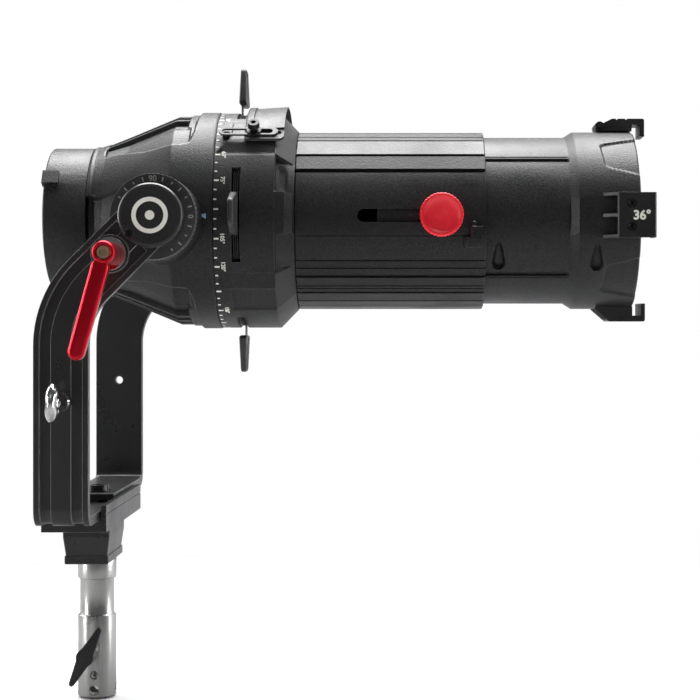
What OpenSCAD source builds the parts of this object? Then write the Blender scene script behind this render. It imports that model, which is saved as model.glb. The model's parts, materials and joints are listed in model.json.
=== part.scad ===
// Ellipsoidal (profile) spotlight front end on a two-arm yoke.
// Frame: +X is the beam direction, +Z is up, near is -Y and far is +Y. The origin is
// the centre of the mouth of the stand socket. All sizes are in millimetres.

/* [Stand spigot] */
// Outside diameter of the stand spigot
spigot_d = 28.6; // [28.0:0.1:29.2]
// Bore of the socket that takes a 16 mm stand stud
socket_d = 16.0; // [15.9:0.05:16.1]
// Depth of the stand socket
socket_depth = 46; // [42:1:50]
// Height of the spigot's sleeve
sleeve_h = 61.5; // [60:0.5:64]

/* [Yoke] */
// Height of the tilt axis above the socket mouth
pivot_h = 351; // [345:1:370]
// Height of the optical axis above the tilt axis
beam_up = 4; // [3:0.5:5]
// Backward offset of the arms' upright parts
arm_back = 3; // [2.5:0.1:3]
// Forward offset of the tilt axis from the spigot axis
pivot_x = 58.5; // [58.5:0.5:60]
// Clear distance between the two arms
arm_gap = 236; // [234:1:240]
// Width of an arm's channel section
arm_w = 37.5; // [36:0.5:38]
// Thickness of an arm
arm_t = 6.5; // [6:0.1:6.6]
// Inner radius of the bend between an arm and its foot
foot_r = 5.5; // [4:0.5:8]
// Radius of the bend between the slanting and the upright part of an arm
bend_r = 64.5; // [60:0.5:70]
// Depth of the two grooves along an arm's outer face
groove_d = 1.6; // [1:0.1:2.4]
// Radius of the hub cap over a pivot
cap_r = 22; // [20:0.5:22.5]
// Radius of the angle dial behind an arm
dial_r = 29.4; // [28.8:0.1:29.8]
// Distance of the clamp spindle from the tilt axis
clamp_off = 38; // [37.8:0.1:39]

/* [Optical body] */
// Radius of the rear bayonet collar
collar_r = 54; // [53:0.5:55]
// Radius of the lamp-side housing at its widest
housing_r = 78.5; // [77:0.5:79]
// Radius of the rotating gate drum
drum_r = 80; // [79:0.5:80.5]
// Radius of the fluted barrel
barrel_r = 66; // [65.5:0.1:66.5]
// Depth of the flutes along the barrel
flute_d = 1.3; // [0.8:0.1:1.6]
// Radius of the gate aperture
aperture_r = 35; // [30:1:36]
// Width of a shutter blade
blade_w = 62; // [56:1:63]
// Height of a shutter grip
grip_h = 27.5; // [20:0.5:30]
// Length of the focus slot
focus_slot_l = 67; // [66:1:72]
// Radius of the focus knob
knob_r = 15.7; // [13:0.1:17]
// Number of scallops round the focus knob
knob_lobes = 12; // [8:1:16]
// Radius of the accessory ring at the front
front_r = 66; // [65:0.5:66.5]

/* [Clamp lever] */
// Length of the clamp lever from its axis to its tip
lever_l = 74; // [60:1:78]
// Width of the clamp lever's arm
lever_w = 11; // [9:0.5:12]
// Angle of the clamp lever away from straight down
lever_a = 15.5; // [0:0.5:20]

/* [Hidden] */

eps = 0.05;
glass = [0.8, 0.9, 0.95, 0.5];
spigot_r = spigot_d / 2;
arm_in = arm_gap / 2;                    // an arm's inner and outer faces, from the middle
arm_out = arm_in + arm_t;

// ---------- helpers ----------
function grey(level) = [level, level, level];
module at_pivot() translate([pivot_x, 0, pivot_h]) children();
module at_beam() translate([pivot_x, 0, pivot_h + beam_up]) children();

// closed ring from a list of [x, radius], turned about the X axis
module lathe(outline, facets = 120) rotate([0, 90, 0]) rotate_extrude($fn = facets)
  polygon([for (point = outline) [point[1], point[0]]]);

// cylinders along each axis, between two stations
module xcyl(radius, x0, x1, facets = 96)
  translate([x0, 0, 0]) rotate([0, 90, 0]) cylinder(r = radius, h = x1 - x0, $fn = facets);
module ycyl(radius, y0, y1, facets = 64)
  translate([0, y0, 0]) rotate([-90, 0, 0]) cylinder(r = radius, h = y1 - y0, $fn = facets);
module zcyl(radius, z0, z1, facets = 32)
  translate([0, 0, z0]) cylinder(r = radius, h = z1 - z0, $fn = facets);
// cylinder along Y, centred on the origin
module ydisc(radius, width, facets = 32)
  rotate([90, 0, 0]) cylinder(r = radius, h = width, center = true, $fn = facets);

// box centred across Y
module bar(x0, x1, width, z0, z1)
  translate([x0, -width / 2, z0]) cube([x1 - x0, width, z1 - z0]);
// side outline of [x, z] points, extruded and centred across Y
module slab(width, outline)
  translate([0, width / 2, 0]) rotate([90, 0, 0]) linear_extrude(width) polygon(outline);

// turn about the X axis: 0 is the top, 90 is the near (-Y) side
module around(angle) rotate([angle, 0, 0]) children();
// four copies, an angle to either side of the near and far directions
module four_at(angle)
  for (side = [-1, 1], turn = [-1, 1]) around(90 * side + angle * turn) children();
module both() {
  children();
  mirror([0, 1, 0]) children();
}

// socket-head screw pointing down -Z with its head's top at z = 0
module cap_screw(shank_r, head_r, head_h, length, hex_r) difference() {
  union() {
    zcyl(head_r, -head_h, 0, 40);
    zcyl(shank_r, -head_h - length, -head_h + eps);
  }
  zcyl(hex_r, -head_h * 0.6, head_h * 0.4, 6);
}

// ---------- stand spigot ----------
spigot_top = 102;
block_top = 131;
bracket_floor = 139.5;                   // top of the cross bracket's floor
foot_top = bracket_floor + 2 * arm_t;    // the arms' feet lie one on the other
bolt_hole_r = 5.3;
socket_clamp_z = 37.5;

module spigot_pin() color("silver") difference() {
  // [radius, z]: conical socket end, sleeve, neck, head
  rotate_extrude($fn = 96) polygon([
    [0, 50], [socket_d / 2, socket_depth], [socket_d / 2, 0],
    [spigot_r - 0.8, 0], [spigot_r, 0.8], [spigot_r, sleeve_h - 0.8], [spigot_r - 0.8, sleeve_h],
    [12.8, sleeve_h], [12.8, 88],
    [spigot_r - 0.6, 88], [spigot_r, 88.6], [spigot_r, spigot_top], [0, spigot_top]]);
  zcyl(5, 80, spigot_top + 1, 48);
  translate([0, 0, socket_clamp_z]) ycyl(4.05, -20, 0);
  // cross holes
  translate([0, 0, 17.4]) ycyl(3, -20, 20);
  for (turn = [0, 90]) rotate([0, 0, turn]) translate([0, 0, 5.7]) ycyl(3.7, -20, 20);
}

module spigot_block() color(grey(0.1)) difference() {
  translate([-2.3, 0, 0]) {
    hull() {
      bar(-17, 17, 68, 122, block_top);
      bar(-15.2, 15.2, 64, 108, 110);
    }
    bar(-16, 16, 66, spigot_top, 108);
  }
  zcyl(bolt_hole_r, 100, 140, 48);
}

// upward-facing channel with a fine groove along each outer wall
module cross_bracket() color(grey(0.12)) difference() {
  bar(-25.6, 20.4, 160, block_top, 150);
  bar(-21.8, 16.6, 162, bracket_floor, bracket_floor + 30);
  for (side = [-1, 1]) bar(23 * side - 3.2, 23 * side - 2, 162, 143.6, 144.4);
  zcyl(bolt_hole_r, 120, 150, 48);
}

module spigot_bolt() color("dimgray") translate([0, 0, foot_top + 5]) difference() {
  union() {
    zcyl(8.5, -4, 0, 48);
    zcyl(10.5, -5, -4, 48);
    zcyl(4.95, -66, -4, 48);
  }
  zcyl(4.2, -2.6, 1.4, 6);
}

// ---------- yoke arms ----------
// X and Z are from the tilt axis
arm_x = -pivot_x - arm_back;             // middle of the upright part
bend_cx = arm_x + bend_r;                // centre of the bend
bend_cz = bend_cx - 2 * bend_r * cos(45); // puts the bend's start on the 45 degree line
arm_half = arm_w / 2;
groove_in = arm_w * 0.184;               // edges of a groove, from the side line
groove_out = arm_w * 0.388;
clamp_at = -clamp_off * [cos(42.6), 0, sin(42.6)];
cap_screw_at = [-14, 0, -12.4];
pivot_hole_r = 6.3;
wing_z = 225;                            // height of the wing screw above the origin

// an arm's side line from the hub down to z_end, as [point, normal]
function side_line(start, z_end) = concat(
  [[[-start * cos(45), -start * sin(45)], [-cos(45), sin(45)]]],
  [for (k = [0:24]) let (angle = 135 + 45 * k / 24)
    [[bend_cx + bend_r * cos(angle), bend_cz + bend_r * sin(angle)], [cos(angle), sin(angle)]]],
  [[[arm_x, z_end], [-1, 0]]]);
// outline between two offsets from the side line
function band(line, offset0, offset1) = concat(
  [for (station = line) station[0] + offset0 * station[1]],
  [for (k = [len(line) - 1:-1:0]) line[k][0] + offset1 * line[k][1]]);

// channel section as [across the width, through the thickness], 0 is the inner face
channel_d = arm_t - groove_d;
section = [
  [-arm_half, 0], [arm_half, 0], [arm_half, arm_t],
  [groove_out, arm_t], [groove_out, channel_d], [groove_in, channel_d], [groove_in, arm_t],
  [-groove_in, arm_t], [-groove_in, channel_d], [-groove_out, channel_d], [-groove_out, arm_t],
  [-arm_half, arm_t]];

// hub, slanting part and upright part, with the grooves cut in
module arm_side(z_end) difference() {
  union() {
    translate([0, -arm_in, 0]) rotate([90, 0, 0]) linear_extrude(arm_t)
      polygon(band(side_line(0, z_end), -arm_half, arm_half));
    ycyl(21.5, -arm_out, -arm_in, 96);
  }
  for (side = [-1, 1])
    translate([0, -arm_out + groove_d, 0]) rotate([90, 0, 0]) linear_extrude(groove_d + 1)
      polygon(band(side_line(19, z_end - 1), side * groove_in, side * groove_out));
}

// foot_z is the height of the foot's underside; the near arm also carries the tilt clamp
module arm(foot_z, near) {
  bend_z = foot_z - pivot_h + arm_t + foot_r;
  foot_y = -arm_in + foot_r;
  at_pivot() difference() {
    union() {
      arm_side(bend_z);
      if (near) translate(clamp_at) ycyl(13, -arm_out - 2, -arm_in);
      // foot bent in under the light
      translate([arm_x, foot_y, bend_z]) rotate([0, 90, 0])
        rotate_extrude(angle = 90, start = 270, $fn = 96)
          polygon([for (point = section) [foot_r + point[1], point[0]]]);
      translate([arm_x, foot_y, bend_z - foot_r]) rotate([-90, 0, 0])
        linear_extrude(arm_in - foot_r + 20) polygon(section);
    }
    ycyl(pivot_hole_r, -arm_out - 1, -arm_in + 1);
    if (near) translate(clamp_at) ycyl(5.05, -arm_out - 3, -arm_in + 1);
    translate(cap_screw_at) ycyl(1.7, -arm_out - 1, -arm_in + 1, 24);
    translate([arm_x, 0, (near ? wing_z : 232) - pivot_h])
      ycyl(near ? 3.05 : 3, -arm_out - 1, -arm_in + 1, 32);
    translate([-pivot_x, 0, foot_z - pivot_h]) zcyl(bolt_hole_r, -1, arm_t + 1, 48);
  }
}
module near_arm() color(grey(0.08)) arm(bracket_floor, true);
module far_arm() color(grey(0.08)) mirror([0, 1, 0]) arm(bracket_floor + arm_t, false);

module hub_cap() at_pivot() difference() {
  // [radius, distance out from the arm]
  rotate([90, 0, 0]) translate([0, 0, arm_out]) rotate_extrude($fn = 96) polygon([
    [0, 8.2], [0, 5.6], [18.5, 5.6], [18.5, 0],
    [cap_r, 0], [cap_r, 6.4], [cap_r - 1, 7.7], [cap_r - 2.4, 8.2]]);
  translate(cap_screw_at) {
    ycyl(3.1, -arm_out - 9, -arm_out - 5.4, 32);
    ycyl(1.7, -arm_out - 9, -arm_out + 1, 24);
  }
}
module near_hub_cap() color(grey(0.1)) hub_cap();
module far_hub_cap() color(grey(0.1)) mirror([0, 1, 0]) hub_cap();
module hub_cap_screws() color("black") both() at_pivot()
  translate(cap_screw_at - [0, arm_out + 8, 0]) rotate([90, 0, 0])
    cap_screw(shank_r = 1.6, head_r = 2.9, head_h = 2.5, length = 8, hex_r = 1.4);

// disc with 60 raised marks round its edge
dial_t = 9;
module dial() at_pivot() difference() {
  union() {
    ycyl(dial_r, -arm_in, -arm_in + dial_t, 96);
    for (k = [0:59]) rotate([0, 6 * k, 0])
      translate([dial_r - 0.4, -arm_in + 2, -0.5]) cube([0.75, 6, 1]);
  }
  ycyl(pivot_hole_r, -arm_in - 1, -arm_in + dial_t + 3);
}
module near_dial() color(grey(0.12)) dial();
module far_dial() color(grey(0.12)) mirror([0, 1, 0]) dial();
module friction_discs() color("sienna") both() at_pivot() difference() {
  ycyl(26, -arm_in + dial_t, -arm_in + dial_t + 2.5);
  ycyl(pivot_hole_r, -arm_in + dial_t - 1, -arm_in + dial_t + 4);
}
module pivot_bolts() color("silver") both() at_pivot() difference() {
  union() {
    ycyl(6, -arm_out, -54);
    ycyl(12, -arm_out - 5, -arm_out);
  }
  ycyl(4.6, -arm_out - 6, -arm_out - 1, 6);
}
module pivot_nuts() color("silver") both() at_pivot() difference() {
  ycyl(11, -61.9, -54.9, 6);
  ycyl(6, -63, -50);
}
module pivot_bushes() color("darkgoldenrod") both() at_pivot() difference() {
  ycyl(9, -arm_in + 11.6, -62);
  ycyl(6.05, -arm_in, -60);
}

// ---------- tilt clamp ----------
lever_y = -152;                          // outer face of the lever
lever_t = 8.6;
lever_foot = -arm_out - 3.7;             // inner end of the lever's hub

module at_clamp() at_pivot() translate(clamp_at) children();
module clamp_washer() color("silver") at_clamp() difference() {
  ycyl(11.4, -arm_out - 3.6, -arm_out - 2);
  ycyl(5.2, -arm_out - 4, -arm_out - 1);
}
// block hollowed on one side to sit round the side boss
module clamp_shoe() color("dimgray") at_pivot() difference() {
  rotate([0, 45, 0]) translate([-11, -102, -47]) cube([22, 14, 25]);
  ycyl(28.6, -110, -80, 96);
  translate(clamp_at) ycyl(5.05, -110, -80);
}
module clamp_spindle() color("silver") at_clamp() difference() {
  union() {
    ycyl(5, -141.8, -89);
    ycyl(8, -107, -103);
  }
  ycyl(2, -149, -133, 32);
}
// cranked lever: a tall hub with the arm at its outer end
module clamp_lever() color([0.8, 0.05, 0.15]) at_clamp() difference() {
  union() {
    ycyl(8.2, lever_y, lever_foot);
    ycyl(8.9, -arm_out - 8, lever_foot);
    rotate([0, lever_a, 0]) translate([0, 0, -lever_l + lever_w / 2]) {
      translate([-lever_w / 2, lever_y, 0]) cube([lever_w, lever_t, lever_l - lever_w / 2]);
      ycyl(lever_w / 2, lever_y, lever_y + lever_t, 48);
    }
  }
  ycyl(5.05, -148.1, -arm_out);
  ycyl(6.4, lever_y - 1, -141.9, 48);
}
module lever_screw() color([0.75, 0.6, 0.4]) at_clamp() difference() {
  union() {
    ycyl(6, -151.8, -148, 48);
    ycyl(2, -149, -134, 32);
  }
  ycyl(2.9, -152.5, -149.1, 6);
}
module lever_spring() color("silver") at_clamp() translate([0, -147.5, 0]) rotate([-90, 0, 0])
  linear_extrude(height = 5.1, twist = -900, slices = 75)
    translate([5.6, 0]) circle(r = 0.45, $fn = 10);

// ---------- screws with two wings ----------
module wing_screw() color("silver") translate([-arm_back, -arm_out, wing_z]) {
  ycyl(3, -3, arm_t - 1, 32);
  ycyl(7.5, -2, 0, 48);
  ycyl(5.5, -9, -1, 48);
  rotate([0, 22, 0]) for (side = [-1, 1]) hull() {
    translate([0, -6, 4 * side]) ydisc(3.2, 3);
    translate([0, -12, 9.5 * side]) ydisc(3.6, 3);
  }
}
module socket_clamp_stud() color("silver") translate([0, 0, socket_clamp_z]) ycyl(4, -48, -9.2, 32);
module socket_clamp_handle() color(grey(0.1)) translate([0, 0, socket_clamp_z]) difference() {
  union() {
    ycyl(6.4, -53, -36, 48);
    rotate([0, 27, 0]) for (side = [-1, 1]) hull() {
      translate([0, -49, 0]) ydisc(5.4, 8);
      translate([0, -48, 21.5 * side]) ydisc(2, 7);
    }
  }
  ycyl(4, -48, -30, 32);
}

// ---------- lamp-side housing ----------
// From here on X is from the tilt axis and Z from the optical axis.
// six screws round the collar's flange
module at_collar_screws()
  for (k = [0:5]) around(25 + 60 * k) translate([0, 0, 43.5]) children();

// ring with three lugs
module bayonet_collar() color(grey(0.2)) at_beam() difference() {
  union() {
    lathe([[-89, 47.5], [-89, collar_r - 1], [-88, collar_r], [-58, collar_r],
      [-58, 40], [-61.5, 40], [-61.5, 47.5]]);
    for (k = [0:2]) around(59 + 120 * k) bar(-90, -78, 11, collar_r - 3, collar_r + 3);
  }
  at_collar_screws() xcyl(1.7, -66, -57, 24);
}
module collar_screws() color("black") at_beam() at_collar_screws()
  translate([-64.5, 0, 0]) rotate([0, -90, 0])
    cap_screw(shank_r = 1.65, head_r = 3, head_h = 3, length = 6, hex_r = 1.4);

module housing_shell() color(grey(0.22)) at_beam() difference() {
  union() {
    lathe([[-58, 39], [-58, 53], [-46, 57], [5, housing_r], [20, housing_r],
      [20, housing_r - 3.5], [6.5, housing_r - 3.5], [-43, 53.5], [-53, 50], [-53.5, 39]]);
    // side bosses on the tilt axis, kept outside the cone of the shell
    both() difference() {
      translate([0, 0, -beam_up]) ycyl(28.5, -arm_in + 11.55, -62, 96);
      xcyl(80.6, 20, 40);
      rotate([0, 90, 0]) translate([0, 0, -60]) cylinder(r1 = 44, r2 = 92, h = 120, $fn = 96);
    }
    both() translate([0, 0, -beam_up]) ycyl(12, -100, -62, 48);
    // raised panels at the top and bottom
    for (turn = [0, 180], side = [-1, 1]) around(turn + 18 * side) intersection() {
      bar(-52, 4, 13, 50, 90);
      lathe([[-50, 54], [-50, 57.6], [-42, 61], [3, 80.2], [3, 74]]);
    }
    // raised panels on the near side, above and below
    for (flip = [0, 1]) mirror([0, 0, flip]) intersection() {
      around(55) bar(-54, -30, 28, 50, 90);
      lathe([[-54, 51.5], [-54, 55.9], [-30, 65.7], [-30, 60]]);
    }
  }
  both() translate([0, 0, -beam_up]) ycyl(9, -arm_in, -60);
  at_collar_screws() xcyl(1.65, -59, -53, 24);
  // cooling louvres, top and bottom
  for (turn = [0, 180], side = [-1, 1], k = [-2:2])
    around(turn + 36 * side + 3.6 * k) bar(-44, 1, 1.9, 45, 90);
}
module front_collar() color(grey(0.2)) at_beam()
  lathe([[20, 72], [20, housing_r], [22, 80.5], [36, 80.5], [36, 72]]);
module condenser_tube() color(grey(0.15)) at_beam()
  lathe([[-53, 39], [-53, 49.8], [-50.5, 49.8], [-50.5, 47.5], [14, 47.5], [14, 44],
    [-12, 44], [-12, 42], [-16, 42], [-16, 44], [-50.5, 44], [-50.5, 39]]);
module rear_condenser() color(glass) at_beam()
  lathe([[-34, 0], [-33.2, 14], [-31, 26], [-27.5, 36], [-24, 43.8], [-20, 43.8], [-20, 0]], 96);
module front_condenser() color(glass) at_beam()
  lathe([[-10, 0], [-10, 43.8], [-6, 43.8], [-1, 34], [2.4, 22], [4, 10], [4.5, 0]], 96);
module condenser_rings() color("dimgray") at_beam() {
  lathe([[-19.9, 39], [-19.9, 44], [-16.1, 44], [-16.1, 39]], 96);
  lathe([[5.2, 40], [5.2, 44], [8.6, 44], [8.6, 40]], 96);
}
module bearing_strip() color("ivory") at_beam()
  lathe([[23, drum_r - 9.95], [23, 72], [34, 72], [34, drum_r - 9.95]]);

// ---------- rotating gate drum ----------
drum_front = 79.5;
post_r = 2.5;
blade_t = 0.8;
blade_x = [for (k = [0:3]) 50.2 + 1.4 * k]; // rear faces of the four blades
cover_a = 44;                            // angle of the slot cover's straight edges
thumb_x = 64;                            // cover's thumb screw
link_x = 44;                             // screw at the rear of the cover's link

module at_posts() for (k = [0:3]) around(45 + 90 * k) translate([0, 0, 61]) children();

module drum_retainer() color("dimgray") at_beam()
  lathe([[15.9, 62], [15.9, 74], [19.85, 74], [19.85, 62]]);
module gate_drum() color(grey(0.22)) at_beam() difference() {
  union() {
    lathe([[19.9, 64], [19.9, drum_r - 10], [36.1, drum_r - 10], [36.1, drum_r - 0.5],
      [36.6, drum_r], [drum_front, drum_r], [drum_front, 58], [75, 58],
      [75, drum_r - 8], [40, drum_r - 8], [40, 64]]);
    // near and far panels
    for (side = [-1, 1]) around(90 * side) intersection() {
      bar(50, drum_front, 74, 60, 90);
      lathe([[57, drum_r - 2], [57, drum_r + 0.4], [drum_front, drum_r + 0.4],
        [drum_front, drum_r - 2]]);
    }
  }
  // flats beside the panels
  four_at(43.5) bar(58, 79, 16.5, drum_r - 0.75, drum_r + 5);
  // shutter slots
  for (k = [0:3]) around(90 * k) bar(49.2, 55.6, blade_w + 4, 60, 90);
  // gobo slot under the sliding cover
  bar(63, 74, 84, 55, 90);
  // socket screw pockets and fixing holes
  for (side = [-1, 1]) around(90 * side + 45) translate([45.6, 0, 0]) zcyl(3, 70, 90);
  at_posts() xcyl(1.6, 74, 81, 24);
  around(cover_a) {
    translate([thumb_x, 0, 0]) zcyl(2, 60, 90);
    translate([link_x, 0, 0]) zcyl(1.5, 60, 90);
  }
}
module drum_screws() color("black") at_beam() {
  for (side = [-1, 1]) around(90 * side + 45) translate([45.6, 0, drum_r - 1])
    cap_screw(shank_r = 1.4, head_r = 2.9, head_h = 2.4, length = 6.5, hex_r = 1.3);
  around(cover_a) translate([link_x, 0, drum_r + 2.4])
    cap_screw(shank_r = 1.45, head_r = 2.9, head_h = 2.2, length = 8, hex_r = 1.3);
}
module gate_plate() color("dimgray") at_beam() difference() {
  lathe([[42, aperture_r], [42, 71.9], [44, 71.9], [44, aperture_r + 1]]);
  at_posts() xcyl(post_r, 41, 45, 32);
}
module spacer(x, thickness) difference() {
  lathe([[x, aperture_r + 2], [x, 65.5], [x + thickness, 65.5], [x + thickness, aperture_r + 2]]);
  at_posts() xcyl(post_r + 0.05, x - 1, x + thickness + 1, 32);
}
module shutter_spacers() color("gray") at_beam() {
  spacer(48.4, 0.8);
  for (k = [0:2]) spacer(blade_x[k] + 0.9, 0.4);
  spacer(55.8, 0.8);
}
module gate_posts() color("silver") at_beam() at_posts() difference() {
  xcyl(post_r, 42, 75, 32);
  xcyl(1.6, 68, 76, 24);
}

// blade in the gate, and its grip outside the drum, turned from the top by angle
module shutter(k, angle) {
  rear = blade_x[k];
  front = rear + blade_t;
  at_beam() around(angle) {
    color("silver") bar(rear, front, blade_w, 8, 66);
    color("silver") bar(rear, front, 10, 65, 93);
    color(grey(0.1)) difference() {
      hull() for (side = [-1, 1]) {
        translate([52, 12 * side, 88.6]) rotate([0, 90, 0])
          cylinder(r = 3, h = 5.8, center = true, $fn = 32);
        translate([52, 6 * side, 82 + grip_h]) rotate([0, 90, 0])
          cylinder(r = 3.5, h = 3.8, center = true, $fn = 32);
      }
      bar(rear, front, 10, 80, 93);
    }
  }
}
module shutter_top() shutter(0, 0);
module shutter_near() shutter(1, 90);
module shutter_bottom() shutter(2, 180);
module shutter_far() shutter(3, -90);

// part of a ring over the gobo slot
module cover_arc(outline) intersection() {
  lathe(outline);
  bar(50, 90, 126, 52, 90);
}
// sliding cover over the gobo slot
module slot_cover() color(grey(0.3)) at_beam() difference() {
  union() {
    cover_arc([[57.3, drum_r + 2.3], [57.3, drum_r + 4.4], [85.5, drum_r + 4.8],
      [85.5, drum_r + 2.7]]);
    cover_arc([[57.3, drum_r + 0.45], [57.3, drum_r + 3], [60.5, drum_r + 3],
      [60.5, drum_r + 0.45]]);
    for (side = [-1, 1]) around(cover_a * side) bar(57.3, 85.5, 14, drum_r + 0.9, drum_r + 3.2);
  }
  around(cover_a) {
    bar(50, 84.5, 4.4, drum_r - 2, drum_r + 7);
    bar(30, 82, 9, drum_r + 3.2, drum_r + 9);
  }
}
// slotted link lying along the cover
module cover_link() color(grey(0.35)) at_beam() around(cover_a) translate([0, 0, drum_r])
  difference() {
    union() {
      for (x = [43, 77]) translate([x, 0, 0]) zcyl(4.2, 3.25, 4.75, 40);
      bar(43, 77, 8.4, 3.25, 4.75);
    }
    for (x = [43.5, 75]) translate([x, 0, 0]) zcyl(2.3, 0, 8);
    bar(43.5, 75, 4.6, 0, 8);
  }
module cover_thumb_screw() color(grey(0.15)) at_beam() around(cover_a)
  translate([thumb_x, 0, drum_r]) difference() {
    union() {
      zcyl(1.95, -6, 8);
      zcyl(5.2, 4.85, 6.05, 48);
      zcyl(2.8, 6, 9);
      zcyl(4, 8.2, 12.8, 48);
      for (k = [0:17]) rotate([0, 0, 20 * k]) translate([3.9, -0.3, 8.6]) cube([0.35, 0.6, 3.8]);
    }
    zcyl(2, 9.8, 13.8, 6);
  }
module drum_nose() color(grey(0.22)) at_beam() difference() {
  lathe([[drum_front, 62.45], [drum_front, drum_r], [93, 66.3], [93, 62.45]]);
  four_at(23.5) bar(80.6, 92, 22, 0, 90);
}

// ---------- fluted barrel and focusing tube ----------
// flutes on each side: [angle up from the side, width]
side_flutes = [
  [29.6, 2.6], [42.7, 2.6], [58.2, 1.2], [63.5, 1.2],
  [-29.1, 1.2], [-34.3, 1.2], [-40.7, 2.6], [-50.2, 1.2], [-55.8, 1.2], [-62, 1.2]];
rail_a = 46.3;                           // angle of the tube's rails from the side
slot_r = 4.8;                            // half width of the focus slot
slot_ends = [138 + slot_r, 138 + focus_slot_l - slot_r];
knob_x = 198;
catch_at = [221.4, -69, 0];
shell_screw_x = [236, 308.5];
shell_screw_y = 54.3;
hinge_at = [317, 0, 70];                 // hinge of the frame latch
ring_screw = [332.5, 8.2];               // holder screws: x, distance to either side

module flute(angle, width) around(angle) bar(96, 231, width, barrel_r - flute_d, barrel_r + 4);
module barrel() color(grey(0.2)) at_beam() difference() {
  union() {
    lathe([[84, 59.5], [84, 62.4], [93, 62.4], [93, barrel_r], [229, barrel_r],
      [230, barrel_r - 1], [230, 62.6], [96, 62.6], [96, 59.5]]);
    // fixed block under the catch
    translate([214, -70.4, -23]) cube([13.5, 8, 7.3]);
  }
  for (side = [-1, 1], entry = side_flutes) flute(side * (90 - entry[0]), entry[1]);
  for (turn = [0, 180], angle = [-14, 0, 14]) flute(turn + angle, 1.6);
  // inner channels that clear the rails of the focusing tube
  four_at(rail_a) bar(108, 231, 6.4, 60, 63.3);
  // focus slot
  around(90) {
    bar(slot_ends[0], slot_ends[1], 2 * slot_r, 55, 75);
    for (x = slot_ends) translate([x, 0, 0]) zcyl(slot_r, 55, 75, 40);
  }
  translate(catch_at) zcyl(1.3, -24, -12);
}
module glide_strips() color("ivory") at_beam() for (x = [150, 216]) difference() {
  lathe([[x, 62.05], [x, 62.6], [x + 10, 62.6], [x + 10, 62.05]]);
  around(90) bar(x - 1, x + 11, 14, 40, 80);
  four_at(rail_a) bar(x - 1, x + 11, 6.4, 60, 64);
}
module tube_catch() color(grey(0.12)) at_beam() translate(catch_at) {
  zcyl(1.25, -23, -11);
  zcyl(3, -15.3, -7.9, 40);
  zcyl(1.8, -8, -5.6);
  translate([0, 0, -5.6]) sphere(r = 1.8, $fn = 32);
  translate([0, -2.6, -15.3]) cube([6.1, 5.1, 7.4]);
}

module at_shell_screws()
  for (side = [-1, 1], x = shell_screw_x) translate([x, shell_screw_y * side, 0]) children();
// near side, bottom and far side of the front ring
module at_holders() for (angle = [90, 180, 270]) around(angle) children();

// focusing tube and front ring, moulded as an upper and a lower half
module lens_shell() difference() {
  union() {
    lathe([[152, 57.5], [152, 61], [153, 62], [292, 62], [298, front_r], [339.5, front_r],
      [340.5, front_r - 1], [340.5, 61.5], [329, 59], [300, 57.5]]);
    four_at(rail_a) bar(170, 293, 4.4, 60, 63);
    // inner bosses of the screws that close the shells
    for (side = [-1, 1], x = shell_screw_x) intersection() {
      translate([x, shell_screw_y * side, 0]) zcyl(6.6, -33, 10, 48);
      xcyl(60.5, x - 10, x + 10);
    }
    // ears of the top latch's hinge
    for (side = [-1, 1]) translate([0, 13.2 * side, 0]) {
      translate(hinge_at) ydisc(3.6, 3);
      bar(313.4, 320.6, 3, 62, 70);
    }
  }
  // grooves beside the rails
  four_at(42) bar(153, 291.5, 3, 60.9, 70);
  // pockets and holes of the screws that close the shells
  at_shell_screws() zcyl(4.7, -50, -16, 48);
  at_shell_screws() zcyl(1.6, -20, 6, 24);
  translate(hinge_at) ydisc(1.6, 40);
  at_holders() for (side = [-1, 1])
    translate([ring_screw[0], ring_screw[1] * side, 0]) zcyl(1.6, 60.5, 70.5, 24);
  // hole of the focus knob's stem
  around(90) translate([knob_x, 0, 0]) zcyl(3.3, 50, 70);
}
module shell_half(z) at_beam() intersection() {
  lens_shell();
  bar(140, 360, 200, z, z + 100);
}
module lens_shell_upper() color(grey(0.2)) shell_half(0);
module lens_shell_lower() color(grey(0.2)) shell_half(-100);
module lens_shell_screws() color("black") at_beam() at_shell_screws()
  translate([0, 0, -19]) mirror([0, 0, 1])
    cap_screw(shank_r = 1.55, head_r = 3, head_h = 3, length = 21, hex_r = 1.4);
module rear_lens() color(glass) at_beam()
  lathe([[166, 0], [167, 20], [170, 40], [174, 57.3], [180, 57.3], [180, 0]], 96);
module front_lens() color(glass) at_beam()
  lathe([[262, 0], [262, 57.3], [267, 57.3], [267, 54.6], [274, 42], [279.4, 24],
    [281, 12], [281.5, 0]], 96);
module lens_rings() color("dimgray") at_beam() for (x = [169.2, 180.1, 257.9, 267.1])
  lathe([[x, 54.8], [x, 57.5], [x + 4, 57.5], [x + 4, 54.8]], 96);

module focus_knob() color([0.85, 0.1, 0.2]) at_beam() around(90) translate([knob_x, 0, 0]) {
  difference() {
    union() {
      zcyl(knob_r - 0.8, 70, 79, 96);
      zcyl(8, 66.2, 70.2, 48);
    }
    zcyl(knob_r - 3.4, 77, 81, 96);
    for (k = [0:knob_lobes - 1]) rotate([0, 0, 360 / knob_lobes * k])
      translate([knob_r + 1.4, 0, 0]) zcyl(3, 60, 90, 24);
  }
  zcyl(3.25, 58, 66.3);
}

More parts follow.
